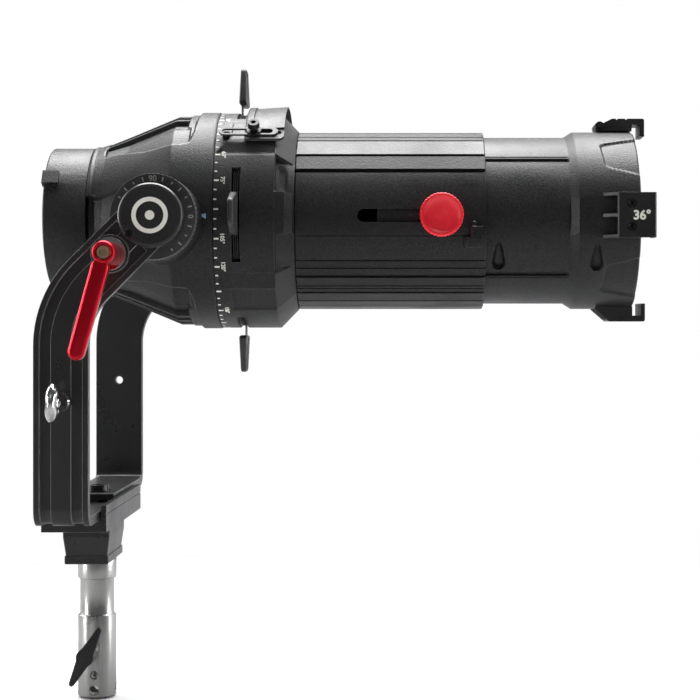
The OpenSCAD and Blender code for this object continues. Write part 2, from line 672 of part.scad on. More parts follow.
// fixed frame holders at the near side, the bottom and the far side
module accessory_holders() color(grey(0.1)) at_beam() at_holders() difference() {
  slab(32, [[314, 62], [313, 66.4], [323.5, 75.4], [349, 75.4], [350, 74.4], [350, 62],
    [347, 62], [347, 71], [340.6, 71], [340.6, 62]]);
  xcyl(front_r + 0.02, 300, 340.6, 120);
  for (side = [-1, 1]) translate([ring_screw[0], ring_screw[1] * side, 0]) {
    zcyl(1.7, 60, 80, 24);
    zcyl(3.4, 72, 81);
  }
  // gaps between the three ribs at the back
  for (side = [-1, 1]) translate([0, 7.5 * side, 0]) bar(313, 322.3, 12.4, 60, 80);
}
module holder_screws() color("black") at_beam() at_holders() for (side = [-1, 1])
  translate([ring_screw[0], ring_screw[1] * side, 74.8])
    cap_screw(shank_r = 1.55, head_r = 3.1, head_h = 2.8, length = 8, hex_r = 1.5);
// hinged holder at the top
module frame_latch() color(grey(0.1)) at_beam() difference() {
  union() {
    slab(23, [[317, 66.6], [314.8, 67.6], [314.1, 69.4], [326, 75.4], [349, 75.4], [350, 74.4],
      [350, 62.2], [346.6, 62.2], [346.6, 71], [341, 71], [340.6, 66.3], [320, 66.3]]);
    translate(hinge_at) ydisc(3.4, 23, 40);
    translate(hinge_at) ydisc(1.55, 30);
  }
  for (x = [329, 336]) bar(x, x + 1.4, 40, 74.6, 80);
}

spigot_pin();
spigot_block();
cross_bracket();
spigot_bolt();
near_arm();
far_arm();
near_hub_cap();
far_hub_cap();
hub_cap_screws();
near_dial();
far_dial();
friction_discs();
pivot_bolts();
pivot_nuts();
pivot_bushes();
clamp_washer();
clamp_shoe();
clamp_spindle();
clamp_lever();
lever_screw();
lever_spring();
wing_screw();
socket_clamp_handle();
socket_clamp_stud();
bayonet_collar();
collar_screws();
housing_shell();
front_collar();
condenser_tube();
rear_condenser();
front_condenser();
condenser_rings();
bearing_strip();
drum_retainer();
gate_drum();
drum_screws();
gate_plate();
shutter_spacers();
gate_posts();
shutter_top();
shutter_bottom();
shutter_near();
shutter_far();
slot_cover();
cover_link();
cover_thumb_screw();
drum_nose();
barrel();
glide_strips();
tube_catch();
lens_shell_upper();
lens_shell_lower();
lens_shell_screws();
rear_lens();
front_lens();
lens_rings();
focus_knob();
accessory_holders();
holder_screws();
frame_latch();
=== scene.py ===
import json
import math

import bmesh
import bpy
import numpy as np
from mathutils import Matrix, Vector


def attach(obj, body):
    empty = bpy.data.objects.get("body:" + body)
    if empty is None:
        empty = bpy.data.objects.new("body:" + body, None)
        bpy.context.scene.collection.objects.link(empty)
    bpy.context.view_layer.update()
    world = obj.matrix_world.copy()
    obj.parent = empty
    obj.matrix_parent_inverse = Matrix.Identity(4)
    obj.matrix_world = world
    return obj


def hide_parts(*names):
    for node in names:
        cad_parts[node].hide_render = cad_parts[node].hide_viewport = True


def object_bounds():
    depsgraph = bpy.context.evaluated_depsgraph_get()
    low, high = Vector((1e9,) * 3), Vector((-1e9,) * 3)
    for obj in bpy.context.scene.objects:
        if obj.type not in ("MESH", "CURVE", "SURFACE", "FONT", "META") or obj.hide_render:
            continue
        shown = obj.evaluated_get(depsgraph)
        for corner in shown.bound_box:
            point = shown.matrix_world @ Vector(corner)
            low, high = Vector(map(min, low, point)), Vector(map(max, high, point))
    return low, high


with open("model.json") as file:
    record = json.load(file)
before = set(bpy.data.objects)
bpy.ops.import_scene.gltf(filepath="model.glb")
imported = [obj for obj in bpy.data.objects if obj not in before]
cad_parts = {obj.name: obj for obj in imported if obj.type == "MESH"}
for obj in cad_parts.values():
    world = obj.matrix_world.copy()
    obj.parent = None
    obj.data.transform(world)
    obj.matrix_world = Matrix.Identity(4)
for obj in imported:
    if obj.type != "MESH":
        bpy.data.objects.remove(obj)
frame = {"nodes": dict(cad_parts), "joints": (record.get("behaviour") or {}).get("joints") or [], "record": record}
cad_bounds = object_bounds()
record = frame["record"]
nodes = frame["nodes"]
joints = {j["name"]: j for j in frame["joints"]}

# centre of the tilt axis, in mm; all shells below are drawn about the optical axis through it
P = np.array(joints["drum_rotation"]["pos_m"]) * 1000.0
T = np.array(joints["tilt"]["pos_m"]) * 1000.0
C = np.array(joints["clamp_turn"]["pos_m"]) * 1000.0
ARM_IN, ARM_OUT = 118.0, 124.5


# ------------------------------------------------------------------ materials
def new_mat(name):
    m = bpy.data.materials.new(name)
    m.use_nodes = True
    nt = m.node_tree
    nt.nodes.clear()
    out = nt.nodes.new("ShaderNodeOutputMaterial")
    bsdf = nt.nodes.new("ShaderNodeBsdfPrincipled")
    nt.links.new(bsdf.outputs[0], out.inputs[0])
    return m, nt, bsdf


def node(nt, kind, **kw):
    n = nt.nodes.new(kind)
    for k, v in kw.items():
        if k.startswith("i_"):
            key = k[2:]
            key = int(key) if key.isdigit() else key.replace("_", " ")
            n.inputs[key].default_value = v
        else:
            setattr(n, k, v)
    return n


def coords(nt, scale=(1, 1, 1)):
    tc = node(nt, "ShaderNodeTexCoord")
    mp = node(nt, "ShaderNodeMapping")
    mp.inputs["Scale"].default_value = scale
    nt.links.new(tc.outputs["Object"], mp.inputs["Vector"])
    return mp.outputs[0]


def noise(nt, vec, scale, detail=3.0, rough=0.55):
    n = node(nt, "ShaderNodeTexNoise")
    n.inputs["Scale"].default_value = scale
    n.inputs["Detail"].default_value = detail
    n.inputs["Roughness"].default_value = rough
    nt.links.new(vec, n.inputs["Vector"])
    return n.outputs[0]


def ramp(nt, fac, stops):
    r = node(nt, "ShaderNodeValToRGB")
    el = r.color_ramp.elements
    while len(el) < len(stops):
        el.new(0.5)
    for e, (p, c) in zip(el, stops):
        e.position = p
        e.color = c if len(c) == 4 else (*c, 1)
    nt.links.new(fac, r.inputs[0])
    return r.outputs[0]


def remap(nt, val, a, b, c, d):
    n = node(nt, "ShaderNodeMapRange")
    for i, v in enumerate((a, b, c, d)):
        n.inputs[i + 1].default_value = v
    nt.links.new(val, n.inputs[0])
    return n.outputs[0]


def mix(nt, fac, a, b, mode="MIX"):
    n = node(nt, "ShaderNodeMix", data_type="RGBA", blend_type=mode)
    for i, v in ((0, fac), (6, a), (7, b)):
        if isinstance(v, (int, float)):
            n.inputs[i].default_value = v
        elif isinstance(v, tuple):
            n.inputs[i].default_value = (*v, 1)
        else:
            nt.links.new(v, n.inputs[i])
    return n.outputs[2]


def coat(name, base, rough, grain=1400.0, bump=0.35, dist=0.00006, metallic=0.0, spread=0.35, wear=0.25,
         wear_col=None, streak=None, coat_w=0.0, spec=0.5, rough_var=0.08, edge_highlight=0.0, edge_highlight_col=(0.2, 0.2, 0.2), edge_r=0.0005):
    """Paint, plastic or metal with fine grain, soft colour variation, lighter worn edges and, where asked, a painted
    highlight line along every edge.
    """
    m, nt, b = new_mat(name)
    vec = coords(nt, streak or (1, 1, 1))
    fine = noise(nt, vec, grain, 2.0, 0.6)
    broad = noise(nt, coords(nt), 22.0, 4.0, 0.6)
    lo = tuple(c * (1 - spread) for c in base)
    hi = tuple(min(1, c * (1 + spread)) for c in base)
    col = mix(nt, remap(nt, fine, 0.3, 0.7, 0.0, 1.0), lo, hi)
    col = mix(nt, remap(nt, broad, 0.35, 0.75, 0.0, 0.22), col, tuple(min(1, c * 1.5 + 0.002) for c in base))
    if wear:
        geo = node(nt, "ShaderNodeNewGeometry")
        worn = remap(nt, geo.outputs["Pointiness"], 0.53, 0.62, 0.0, wear)
        wc = wear_col or tuple(min(1, c * 3 + 0.03) for c in base)
        col = mix(nt, worn, col, wc)
    if edge_highlight:
        # painted highlight: a thin bright line where two faces meet, standing in for light caught on the edge
        bev = node(nt, "ShaderNodeBevel")
        bev.samples = 6
        bev.inputs["Radius"].default_value = edge_r
        flat = node(nt, "ShaderNodeNewGeometry")
        dot = node(nt, "ShaderNodeVectorMath", operation="DOT_PRODUCT")
        nt.links.new(bev.outputs[0], dot.inputs[0])
        nt.links.new(flat.outputs["Normal"], dot.inputs[1])
        col = mix(nt, remap(nt, dot.outputs["Value"], 0.88, 0.995, edge_highlight, 0.0), col, edge_highlight_col)
    nt.links.new(col, b.inputs["Base Color"])
    rg = mix(nt, remap(nt, broad, 0.3, 0.7, 0.0, 1.0), (rough - rough_var,) * 3, (rough + rough_var,) * 3)
    nt.links.new(rg, b.inputs["Roughness"])
    b.inputs["Metallic"].default_value = metallic
    b.inputs["Specular IOR Level"].default_value = spec
    b.inputs["Coat Weight"].default_value = coat_w
    b.inputs["Coat Roughness"].default_value = 0.12
    bp = node(nt, "ShaderNodeBump")
    bp.inputs["Strength"].default_value = bump
    bp.inputs["Distance"].default_value = dist
    nt.links.new(fine, bp.inputs["Height"])
    nt.links.new(bp.outputs[0], b.inputs["Normal"])
    return m


M = {}
M["housing_black"] = coat("housing_black", (0.0105, 0.0105, 0.0111), 0.43, 820, 0.95, 0.00026, spread=0.95, wear=0.35,
                          wear_col=(0.10, 0.10, 0.105))
# arms, dials and satin black parts get a painted highlight line along their edges
M["arm_black"] = coat("arm_black", (0.0155, 0.0155, 0.016), 0.34, 2200, 0.2, 0.00004, spread=0.25, wear=0.0, edge_highlight=1.0, edge_highlight_col=(0.62, 0.61, 0.58))
M["dial_black"] = coat("dial_black", (0.034, 0.034, 0.035), 0.42, 1800, 0.3, 0.00005, spread=0.3, wear=0.0, edge_highlight=0.7, edge_highlight_col=(0.30, 0.30, 0.30), edge_r=0.0005)
M["satin_black"] = coat("satin_black", (0.0155, 0.0155, 0.016), 0.33, 2200, 0.2, 0.00004, spread=0.25, wear=0.0,
                        edge_highlight=0.7, edge_highlight_col=(0.20, 0.20, 0.20), edge_r=0.0004)
M["black_plastic"] = coat("black_plastic", (0.011, 0.011, 0.0115), 0.42, 1100, 0.3, 0.00007, spread=0.3, wear=0.2)
M["grip_rubber"] = coat("grip_rubber", (0.022, 0.022, 0.023), 0.38, 900, 0.35, 0.00008, spread=0.3, wear=0.35, wear_col=(0.12, 0.12, 0.12))
M["black_oxide"] = coat("black_oxide", (0.028, 0.028, 0.03), 0.3, 2600, 0.2, 0.00003, metallic=0.75, spread=0.3, wear=0.4,
                        wear_col=(0.2, 0.2, 0.2))
M["stainless"] = coat("stainless", (0.60, 0.595, 0.58), 0.33, 900, 0.22, 0.00004, metallic=1.0, spread=0.10, wear=0.0,
                      streak=(1, 1, 0.02), rough_var=0.06)
M["bright_steel"] = coat("bright_steel", (0.78, 0.78, 0.77), 0.13, 1200, 0.10, 0.00003, metallic=1.0, spread=0.06, wear=0.0,
                         rough_var=0.03)
M["red_anodised"] = coat("red_anodised", (0.66, 0.004, 0.020), 0.30, 2400, 0.12, 0.00003, metallic=0.88, spread=0.12,
                         wear=0.15, wear_col=(0.85, 0.12, 0.12), coat_w=0.25, rough_var=0.04)
M["red_knob"] = coat("red_knob", (0.72, 0.009, 0.022), 0.42, 1300, 0.25, 0.00006, spread=0.12, wear=0.15,
                     wear_col=(0.9, 0.12, 0.12), rough_var=0.05)
M["blade_steel"] = coat("blade_steel", (0.20, 0.20, 0.205), 0.42, 1500, 0.2, 0.00003, metallic=0.8, spread=0.12, wear=0.0)
M["brass"] = coat("brass", (0.78, 0.58, 0.38), 0.34, 1500, 0.2, 0.00003, metallic=1.0, spread=0.12, wear=0.0)
M["bare_aluminium"] = coat("bare_aluminium", (0.50, 0.50, 0.51), 0.36, 1000, 0.3, 0.00004, metallic=1.0, spread=0.12,
                           wear=0.0, streak=(0.05, 1, 1))
M["nylon"] = coat("nylon", (0.55, 0.53, 0.47), 0.5, 500, 0.2, 0.00008, spread=0.08, wear=0.0)
M["friction_fibre"] = coat("friction_fibre", (0.10, 0.055, 0.03), 0.75, 600, 0.7, 0.0002, spread=0.5, wear=0.0)
M["marking"] = coat("marking", (0.66, 0.65, 0.60), 0.5, 2500, 0.2, 0.00002, spread=0.10, wear=0.0)
M["marking_dim"] = coat("marking_dim", (0.30, 0.285, 0.25), 0.55, 2500, 0.2, 0.00002, spread=0.12, wear=0.0)
M["marking_blue"] = coat("marking_blue", (0.20, 0.33, 0.46), 0.5, 2500, 0.2, 0.00002, spread=0.10, wear=0.0)
M["dark_inside"] = coat("dark_inside", (0.004, 0.004, 0.004), 0.7, 900, 0.3, 0.0001, spread=0.3, wear=0.0)


def glass():
    m, nt, b = new_mat("glass")
    b.inputs["Base Color"].default_value = (0.86, 0.93, 0.95, 1)
    b.inputs["Transmission Weight"].default_value = 0.92
    b.inputs["IOR"].default_value = 1.5
    vec = coords(nt)
    n = noise(nt, vec, 60.0, 3.0, 0.5)
    rg = remap(nt, n, 0.3, 0.8, 0.015, 0.06)
    nt.links.new(rg, b.inputs["Roughness"])
    b.inputs["Coat Weight"].default_value = 0.3
    return m


M["glass"] = glass()


# ------------------------------------------------------------------ mesh helpers
def link(name, verts, faces, mat, body, replaces=(), sharp=30, smooth=True):
    me = bpy.data.meshes.new(name)
    me.from_pydata([tuple(v) for v in np.asarray(verts) / 1000.0], [], [tuple(int(i) for i in f) for f in faces])
    ob = bpy.data.objects.new(name, me)
    bpy.context.scene.collection.objects.link(ob)
    bm = bmesh.new()
    bm.from_mesh(me)
    bmesh.ops.remove_doubles(bm, verts=bm.verts, dist=1e-7)
    bmesh.ops.recalc_face_normals(bm, faces=bm.faces)
    bm.to_mesh(me)
    bm.free()
    if smooth:
        me.shade_smooth()
        me.set_sharp_from_angle(angle=math.radians(sharp))
    me.materials.append(M[mat])
    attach(ob, body)
    if replaces:
        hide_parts(*replaces)
    return ob


def lines(lo, hi, step, exact=(), w=0.22):
    v = set(np.round(np.arange(lo, hi + 1e-6, step), 4))
    v |= {lo, hi}
    near = []
    for e in exact:
        for q in (e - w, e + w):
            if lo < q < hi:
                near.append(round(q, 4))
    keep = [q for q in v if q in (lo, hi) or all(abs(q - n) > step * 0.35 for n in near)]
    return np.array(sorted(set(keep) | set(near)))


def ss(v, a, b):
    t = np.clip((v - a) / (b - a), 0, 1)
    return t * t * (3 - 2 * t)


def within(v, a, b, w=0.22):
    return np.clip((v - a + w) / (2 * w), 0, 1) * np.clip((b + w - v) / (2 * w), 0, 1)


def poly_mask(u, v, pts, w=0.5):
    """1 inside a polygon, 0 outside, over a soft edge of half width w."""
    pts = np.asarray(pts, float)
    d = np.full(u.shape, 1e9)
    inside = np.zeros(u.shape, bool)
    for k in range(len(pts)):
        (x0, y0), (x1, y1) = pts[k], pts[(k + 1) % len(pts)]
        ex, ey = x1 - x0, y1 - y0
        t = np.clip(((u - x0) * ex + (v - y0) * ey) / (ex * ex + ey * ey), 0, 1)
        d = np.minimum(d, np.hypot(u - x0 - t * ex, v - y0 - t * ey))
        c = ((y0 > v) != (y1 > v)) & (u < (x1 - x0) * (v - y0) / ((y1 - y0) if y1 != y0 else 1e-9) + x0)
        inside ^= c
    sd = np.where(inside, -d, d)
    return np.clip((w - sd) / (2 * w), 0, 1)


def shell(name, xs, th, Ro, Ri, void=None, body="housing", slot="housing_black", mat=None, replaces=(), sharp=28):
    """Tube about the optical axis on an (x, angle) grid: outer and inner skins, true openings where void is set."""
    xs = np.asarray(xs, float)
    th = np.asarray(th, float)
    m, n = len(xs), len(th)
    X = np.repeat(xs[:, None], n, 1)
    T = np.radians(np.repeat(th[None, :], m, 0))
    Ro = np.broadcast_to(Ro, (m, n))
    Ri = np.broadcast_to(Ri, (m, n))

    def skin(R):
        return np.stack([P[0] + X, P[1] - R * np.sin(T), P[2] + R * np.cos(T)], -1).reshape(-1, 3)

    verts = np.concatenate([skin(Ro), skin(Ri)])
    I, J = np.meshgrid(np.arange(m - 1), np.arange(n), indexing="ij")
    J2 = (J + 1) % n
    solid = np.ones((m - 1, n), bool) if void is None else ~void
    a, b, c, d = I * n + J, (I + 1) * n + J, (I + 1) * n + J2, I * n + J2
    o = m * n
    quads = [np.stack([q[solid] for q in (a, b, c, d)], -1), np.stack([q[solid] + o for q in (d, c, b, a)], -1)]
    j, j2 = np.arange(n), (np.arange(n) + 1) % n
    for i, flip in ((0, False), (m - 1, True)):
        s = solid[min(i, m - 2)]
        r = [i * n + j[s], i * n + j2[s], o + i * n + j2[s], o + i * n + j[s]]
        quads.append(np.stack(r[::-1] if flip else r, -1))
    # walls between solid and void cells
    w1 = solid[:-1] != solid[1:]
    ii, jj = np.nonzero(w1)
    quads.append(np.stack([(ii + 1) * n + jj, (ii + 1) * n + (jj + 1) % n, o + (ii + 1) * n + (jj + 1) % n, o + (ii + 1) * n + jj], -1))
    w2 = solid != np.roll(solid, -1, 1)
    ii, jj = np.nonzero(w2)
    e = (jj + 1) % n
    quads.append(np.stack([ii * n + e, (ii + 1) * n + e, o + (ii + 1) * n + e, o + ii * n + e], -1))
    faces = np.concatenate(quads)
    used = np.zeros(len(verts), bool)
    used[faces.ravel()] = True
    index = np.cumsum(used) - 1
    return link(name, verts[used], index[faces], mat or slot, body, replaces, sharp)


def phi_of(th):
    """Angle above the side line, the same on the near and the far side."""
    t = (np.asarray(th) + 180) % 360 - 180
    return 90 - np.abs(t)


def sym(phis):
    """Angles from the top for features at these angles above the side line, on both sides."""
    out = []
    for p in phis:
        out += [90 - p, 270 + p]
    return [o % 360 for o in out]


def ring_angles(step, exact=(), w=0.25):
    a = lines(0, 360, step, exact, w)
    return a[a < 360 - 1e-3]


# flat patch wrapped round the optical axis: closed, slightly proud of radius R
def wrapped(verts2, faces, R, h=0.15):
    """verts2: list of (x, arc mm from the near line upwards); returns closed prism vertices and faces."""
    v = []
    for r in (R + h, R - 0.25):
        for x, s in verts2:
            p = s / R
            v.append((P[0] + x, P[1] - r * math.cos(p), P[2] + r * math.sin(p)))
    n = len(verts2)
    f = [list(q) for q in faces] + [[i + n for i in q[::-1]] for q in faces]
    edges = {}
    for q in faces:
        for i in range(len(q)):
            edges[(q[i], q[(i + 1) % len(q)])] = True
    for (i, j) in list(edges):
        if (j, i) not in edges:
            f.append([j, i, i + n, j + n])
    return v, f


class Marks:
    def __init__(self):
        self.v, self.f = [], []

    def add(self, v, f):
        o = len(self.v)
        self.v += [tuple(q) for q in v]
        self.f += [[i + o for i in q] for q in f]

    def build(self, name, mat, body, slot):
        return link(name, self.v, self.f, mat, body, smooth=False)


def glyphs(text, height, bold=0.0):
    """Outline of generic numerals as a filled 2D mesh: vertices (u, v) centred, and faces."""
    cu = bpy.data.curves.new("glyph", "FONT")
    cu.body = text
    cu.size = 1.0
    cu.resolution_u = 4
    cu.offset = bold
    ob = bpy.data.objects.new("glyph", cu)
    bpy.context.scene.collection.objects.link(ob)
    bpy.context.view_layer.update()
    me = bpy.data.meshes.new_from_object(ob)
    bpy.data.objects.remove(ob)
    bpy.data.curves.remove(cu)
    bm = bmesh.new()
    bm.from_mesh(me)
    bmesh.ops.remove_doubles(bm, verts=bm.verts, dist=1e-5)
    bm.normal_update()
    for f in bm.faces:
        if f.normal.z < 0:
            f.normal_flip()
    bm.verts.ensure_lookup_table()
    co = np.array([v.co[:2] for v in bm.verts])
    faces = [[v.index for v in f.verts] for f in bm.faces]
    bm.free()
    bpy.data.meshes.remove(me)
    lo, hi = co.min(0), co.max(0)
    co = (co - (lo + hi) / 2) * (height / 0.70)
    return co, faces


def prism_y(pts, y0, y1, holes=None):
    """Closed prism along Y from an (x, z) outline."""
    n = len(pts)
    v = [(x, y0, z) for x, z in pts] + [(x, y1, z) for x, z in pts]
    f = [list(range(n)), list(range(2 * n - 1, n - 1, -1))]
    f += [[i, (i + 1) % n, (i + 1) % n + n, i + n] for i in range(n)]
    return v, f


def lathe_y(prof, n=96, mod=None, centre=(0, 0)):
    """Closed ring about a Y axis from a closed (radius, y) outline; mod(angle, radius) bends the radius."""
    v, f = [], []
    m = len(prof)
    for k in range(n):
        a = 2 * math.pi * k / n
        for (r, y) in prof:
            rr = mod(a, r, y) if mod else r
            v.append((centre[0] + rr * math.cos(a), y, centre[1] + rr * math.sin(a)))
    for k in range(n):
        for i in range(m):
            a, b = k * m + i, k * m + (i + 1) % m
            c, d = ((k + 1) % n) * m + (i + 1) % m, ((k + 1) % n) * m + i
            f.append([a, b, c, d])
    return v, f


# ------------------------------------------------------------------ lamp-side housing
def build_housing():
    xs = lines(-58, 36, 0.8, (-46, 35.4), 0.3)
    th = ring_angles(0.6)
    X, TH = np.meshgrid(xs, th, indexing="ij")
    FB = 90 - np.abs((TH + 180) % 360 - 180)          # signed, + above the side line
    V = 90 - np.abs(FB)                                # away from the top or bottom line
    R = np.interp(X, [-58, -46, 5.5, 36], [53.4, 57.2, 78.5, 78.5])
    # raised lip beside the bayonet collar
    R = R + 1.0 * within(X, -57.2, -54.6, 0.7)
    # scoops where the arms pass, below a rounded ledge
    scoop = poly_mask(X, FB, [(-66, -30), (-66, 15.0), (-55, 15.5), (-50, 13.4), (-25, 18.5), (-14, 0), (-25, -30)], 1.1)
    R = R - scoop * np.interp(X, [-58, -38, -20], [4.6, 2.6, 1.6])
    # round the sides the cone runs flush into the front collar; top and bottom carry a lower island
    island = poly_mask(X, V, [(-70, -1), (-50, 30), (-44, 44.5), (-16, 48.5), (10, 50), (15.5, 49.4), (18.4, 46.5), (20.2, 40), (21.4, 20), (21.8, -1)], 0.9)
    R = np.maximum(R, 0) + (1 - island) * np.interp(X, [-16, 5.5, 8, 36], [0, 1.8, 2.0, 2.0])
    R = np.where(X > 22.4, 80.5, R)
    # flat facet beside the louvres
    facet = poly_mask(X, V, [(-40, 40), (-15, 37.5), (4, 34.5), (17, 34), (17.5, 48), (8, 49.2), (-16, 47.6)], 0.8)
    R = R - facet * (1.5 - 26.0 * (1 / np.cos(np.radians(V - 42.0)) - 1))
    # sunk louvre field with long ribs
    field = poly_mask(X, V, [(-46, -1), (-46.4, 36), (-45, 40.6), (-41, 41.2), (-7, 37.4), (4, 34.4), (15, 33.6), (15, -1)], 0.6)
    rib = np.zeros_like(R)
    for c in (0.0, 7.4, 14.8, 22.2):
        rib = np.maximum(rib, within(V, c - 1.9, c + 1.9, 0.5))
    R = R - field * (1 - rib * 0.8) * np.interp(X, [-46, -30, 15], [2.6, 4.2, 4.2])
    R = R - 0.6 * ss(X, 35.2, 36.0)
    R = np.minimum(R, 80.5)
    Ri = np.interp(X, [-58, -53.5, -53.0, -43, 6.5, 36], [39, 39, 48.0, 50.5, 72.0, 72.0])
    Ri = np.minimum(Ri, R - 1.2)
    shell("housing_casting", xs, th, R, Ri, None, "housing", "housing_black", None, ("housing_shell", "front_collar"))
    # side bosses that carry the pivots
    for s_, nm in ((-1, "near"), (1, "far")):
        prof = [(9.0, 106.4), (25.5, 106.4), (26.3, 106.0), (26.8, 105.2), (27.6, 100.5), (28.3, 98.5), (28.5, 97.5), (29.3, 78.0), (31.5, 74.0),
                (31.5, 70.0), (28.0, 64.0), (9.0, 62.2)]
        v, f = lathe_y([(r, s_ * y) for r, y in prof], 128, None, (T[0], T[2]))
        link(f"pivot_boss_{nm}", v, f, "housing_black", "housing")
    mk = Marks()
    tri = [(26.6, -0.2), (32.0, 0.5), (32.0, -3.4)]
    for side in (1, -1):
        v, f = wrapped(tri, [[0, 1, 2]], 80.5, 0.1)
        v = [(x, side * y, z) for x, y, z in v]
        mk.add(v, [q[::-1] for q in f] if side < 0 else f)
    mk.build("drum_index_marks", "marking_blue", "housing", "housing_black")


# ------------------------------------------------------------------ gate drum
def build_drum():
    slot_half = math.degrees(math.asin(33 / 79.0))
    gobo_half = math.degrees(math.asin(42 / 79.0))
    cuts = [slot_half, 90 - slot_half, -slot_half, slot_half - 90, 90 - gobo_half, 33.6, -31.4, 43.7, -40.7, -56.5, 56.5, 1.1]
    th = ring_angles(0.7, sym(cuts), 0.16)
    xs = lines(36.1, 79.5, 0.8, (36.6, 49.2, 55.6, 63, 74, 41.0), 0.16)
    X, TH = np.meshgrid(xs, th, indexing="ij")
    FB = 90 - np.abs((TH + 180) % 360 - 180)
    R = np.full(X.shape, 80.0)
    body = ss(X, 41.5, 42.3)
    # corner flats between the side panels and the top and bottom
    f1 = within(FB, 33.6, 43.7, 0.3) * ss(X, 38.4 + (FB - 33.6) * 0.75 - 0.4, 38.4 + (FB - 33.6) * 0.75 + 0.4)
    R = R * (1 - f1) + f1 * (77.2 / np.cos(np.radians(FB - 24.0)) - 0.15)
    f2 = within(FB, 43.7, 60.0, 0.3) * ss(X, 47.4, 48.2)
    R = R * (1 - f2) + f2 * 78.9 / np.cos(np.radians(FB - 52.0))
    f3 = within(FB, -40.7, -31.4, 0.3) * ss(X, 38.0, 38.8)
    R = R * (1 - f3) + f3 * (77.2 / np.cos(np.radians(-FB - 24.0)) - 0.1)
    f4 = within(FB, -56.5, -40.7, 0.3) * ss(X, 47.4, 48.2)
    R = R * (1 - f4) + f4 * 78.7 / np.cos(np.radians(-FB - 49.5))
    R = np.minimum(R, 80.3)
    # parting line along the side panels, and a rounded rear edge
    R = R - 0.45 * within(FB, 0.96, 1.24, 0.1) * body
    R = R - 0.5 * (1 - ss(X, 36.1, 36.9))
    # shallow step behind the scale
    R = R - 0.25 * within(X, 40.6, 41.2, 0.2) * (1 - within(FB, -56.5, 56.5, 0.5))
    Ri = np.full(X.shape, 72.0)
    xc = (xs[:-1] + xs[1:]) / 2
    tc = (th + np.roll(th, -1)) / 2
    tc[-1] = (th[-1] + 360) / 2 % 360
    XC, TC = np.meshgrid(xc, tc, indexing="ij")
    q = (TC + 45) % 90 - 45                             # away from the nearest of four slots
    arc = np.radians(q) * 0 + np.abs(q)
    void = (XC > 49.2) & (XC < 55.6) & (arc < slot_half)
    top = np.abs((TC + 180) % 360 - 180)
    void |= (XC > 63) & (XC < 74) & (top < gobo_half)
    shell("gate_drum_casting", xs, th, R, Ri, void, "drum", "housing_black", None, ("gate_drum",))
    # inner walls of the drum
    for nm, x0, x1, r0, r1 in (("rear", 19.9, 39.0, 64.0, 69.95), ("front", 75.0, 79.4, 58.0, 72.3), ("web", 36.2, 39.9, 64.0, 72.2)):
        a = np.array([x0, x0 + 0.3, x1 - 0.3, x1])
        t = ring_angles(3)
        ro = np.repeat(np.array([r1 - 0.3, r1, r1, r1 - 0.3])[:, None], len(t), 1)
        shell("drum_wall_" + nm, a, t, ro, np.full(ro.shape, r0), None, "drum", "housing_black")
    # thin guides between the blades, seen in each shutter slot
    v_all, f_all = Marks(), None
    for k in range(4):
        for x in (51.15, 52.55, 53.95, 49.45, 55.35):
            half, steps = 31.0, 14
            for (xa, xb) in ((x - 0.16, x + 0.16),):
                vs, fs = [], []
                for i in range(steps + 1):
                    u = -half + 2 * half * i / steps
                    zo = math.sqrt(78.6 ** 2 - u * u)
                    for (xx, zz) in ((xa, 66), (xb, 66), (xb, zo), (xa, zo)):
                        vs.append((xx, u, zz))
                for i in range(steps):
                    for j in range(4):
                        fs.append([4 * i + j, 4 * i + (j + 1) % 4, 4 * (i + 1) + (j + 1) % 4, 4 * (i + 1) + j])
                fs += [[0, 3, 2, 1], [4 * steps, 4 * steps + 1, 4 * steps + 2, 4 * steps + 3]]
                a = math.radians(90 * k)
                vs = [(P[0] + x_, P[1] + y * math.cos(a) - z * math.sin(a), P[2] + y * math.sin(a) + z * math.cos(a)) for x_, y, z in vs]
                v_all.add(vs, fs)
    v_all.build("blade_guides", "black_oxide", "drum", "black_oxide")
    # scale: ticks every 5 degrees all round, longer every 15, with six numerals on each of two opposite sides
    mk = Marks()
    for k in range(72):
        a = 5 * k + 2.6
        lon = k % 3 == 0
        t = -math.radians(a)
        L = 3.4 if lon else 2.0
        hw = 0.62 if lon else 0.5
        vs, fs = wrapped([(37.2, -hw), (37.2 + L, -hw), (37.2 + L, hw), (37.2, hw)], [[0, 1, 2, 3]], 80.0, 0.1)
        c, s_ = math.cos(t), math.sin(t)
        vs = [(x, P[1] + (y - P[1]) * c - (z - P[2]) * s_, P[2] + (y - P[1]) * s_ + (z - P[2]) * c) for x, y, z in vs]
        mk.add(vs, fs)
    for a, txt in ((32.6, "60°"), (17.6, "75°"), (-12.4, "105°"), (-27.4, "120°"), (-57.4, "150°"), (62.6, "30°")):
        for side in (0, 180):
            co, fs = glyphs(txt, 2.9, 0.022)
            pts = [(43.4 + v, -u) for u, v in co]
            t = math.radians(-(a if side == 0 else a))
            vs, ff = wrapped(pts, [q[::-1] for q in fs], 80.0, 0.1)
            t = -math.radians(a) + math.radians(side)
            c, s_ = math.cos(t), math.sin(t)
            vs = [(x, P[1] + (y - P[1]) * c - (z - P[2]) * s_, P[2] + (y - P[1]) * s_ + (z - P[2]) * c) for x, y, z in vs]
            mk.add(vs, ff)
    mk.build("drum_scale", "marking", "drum", "housing_black")


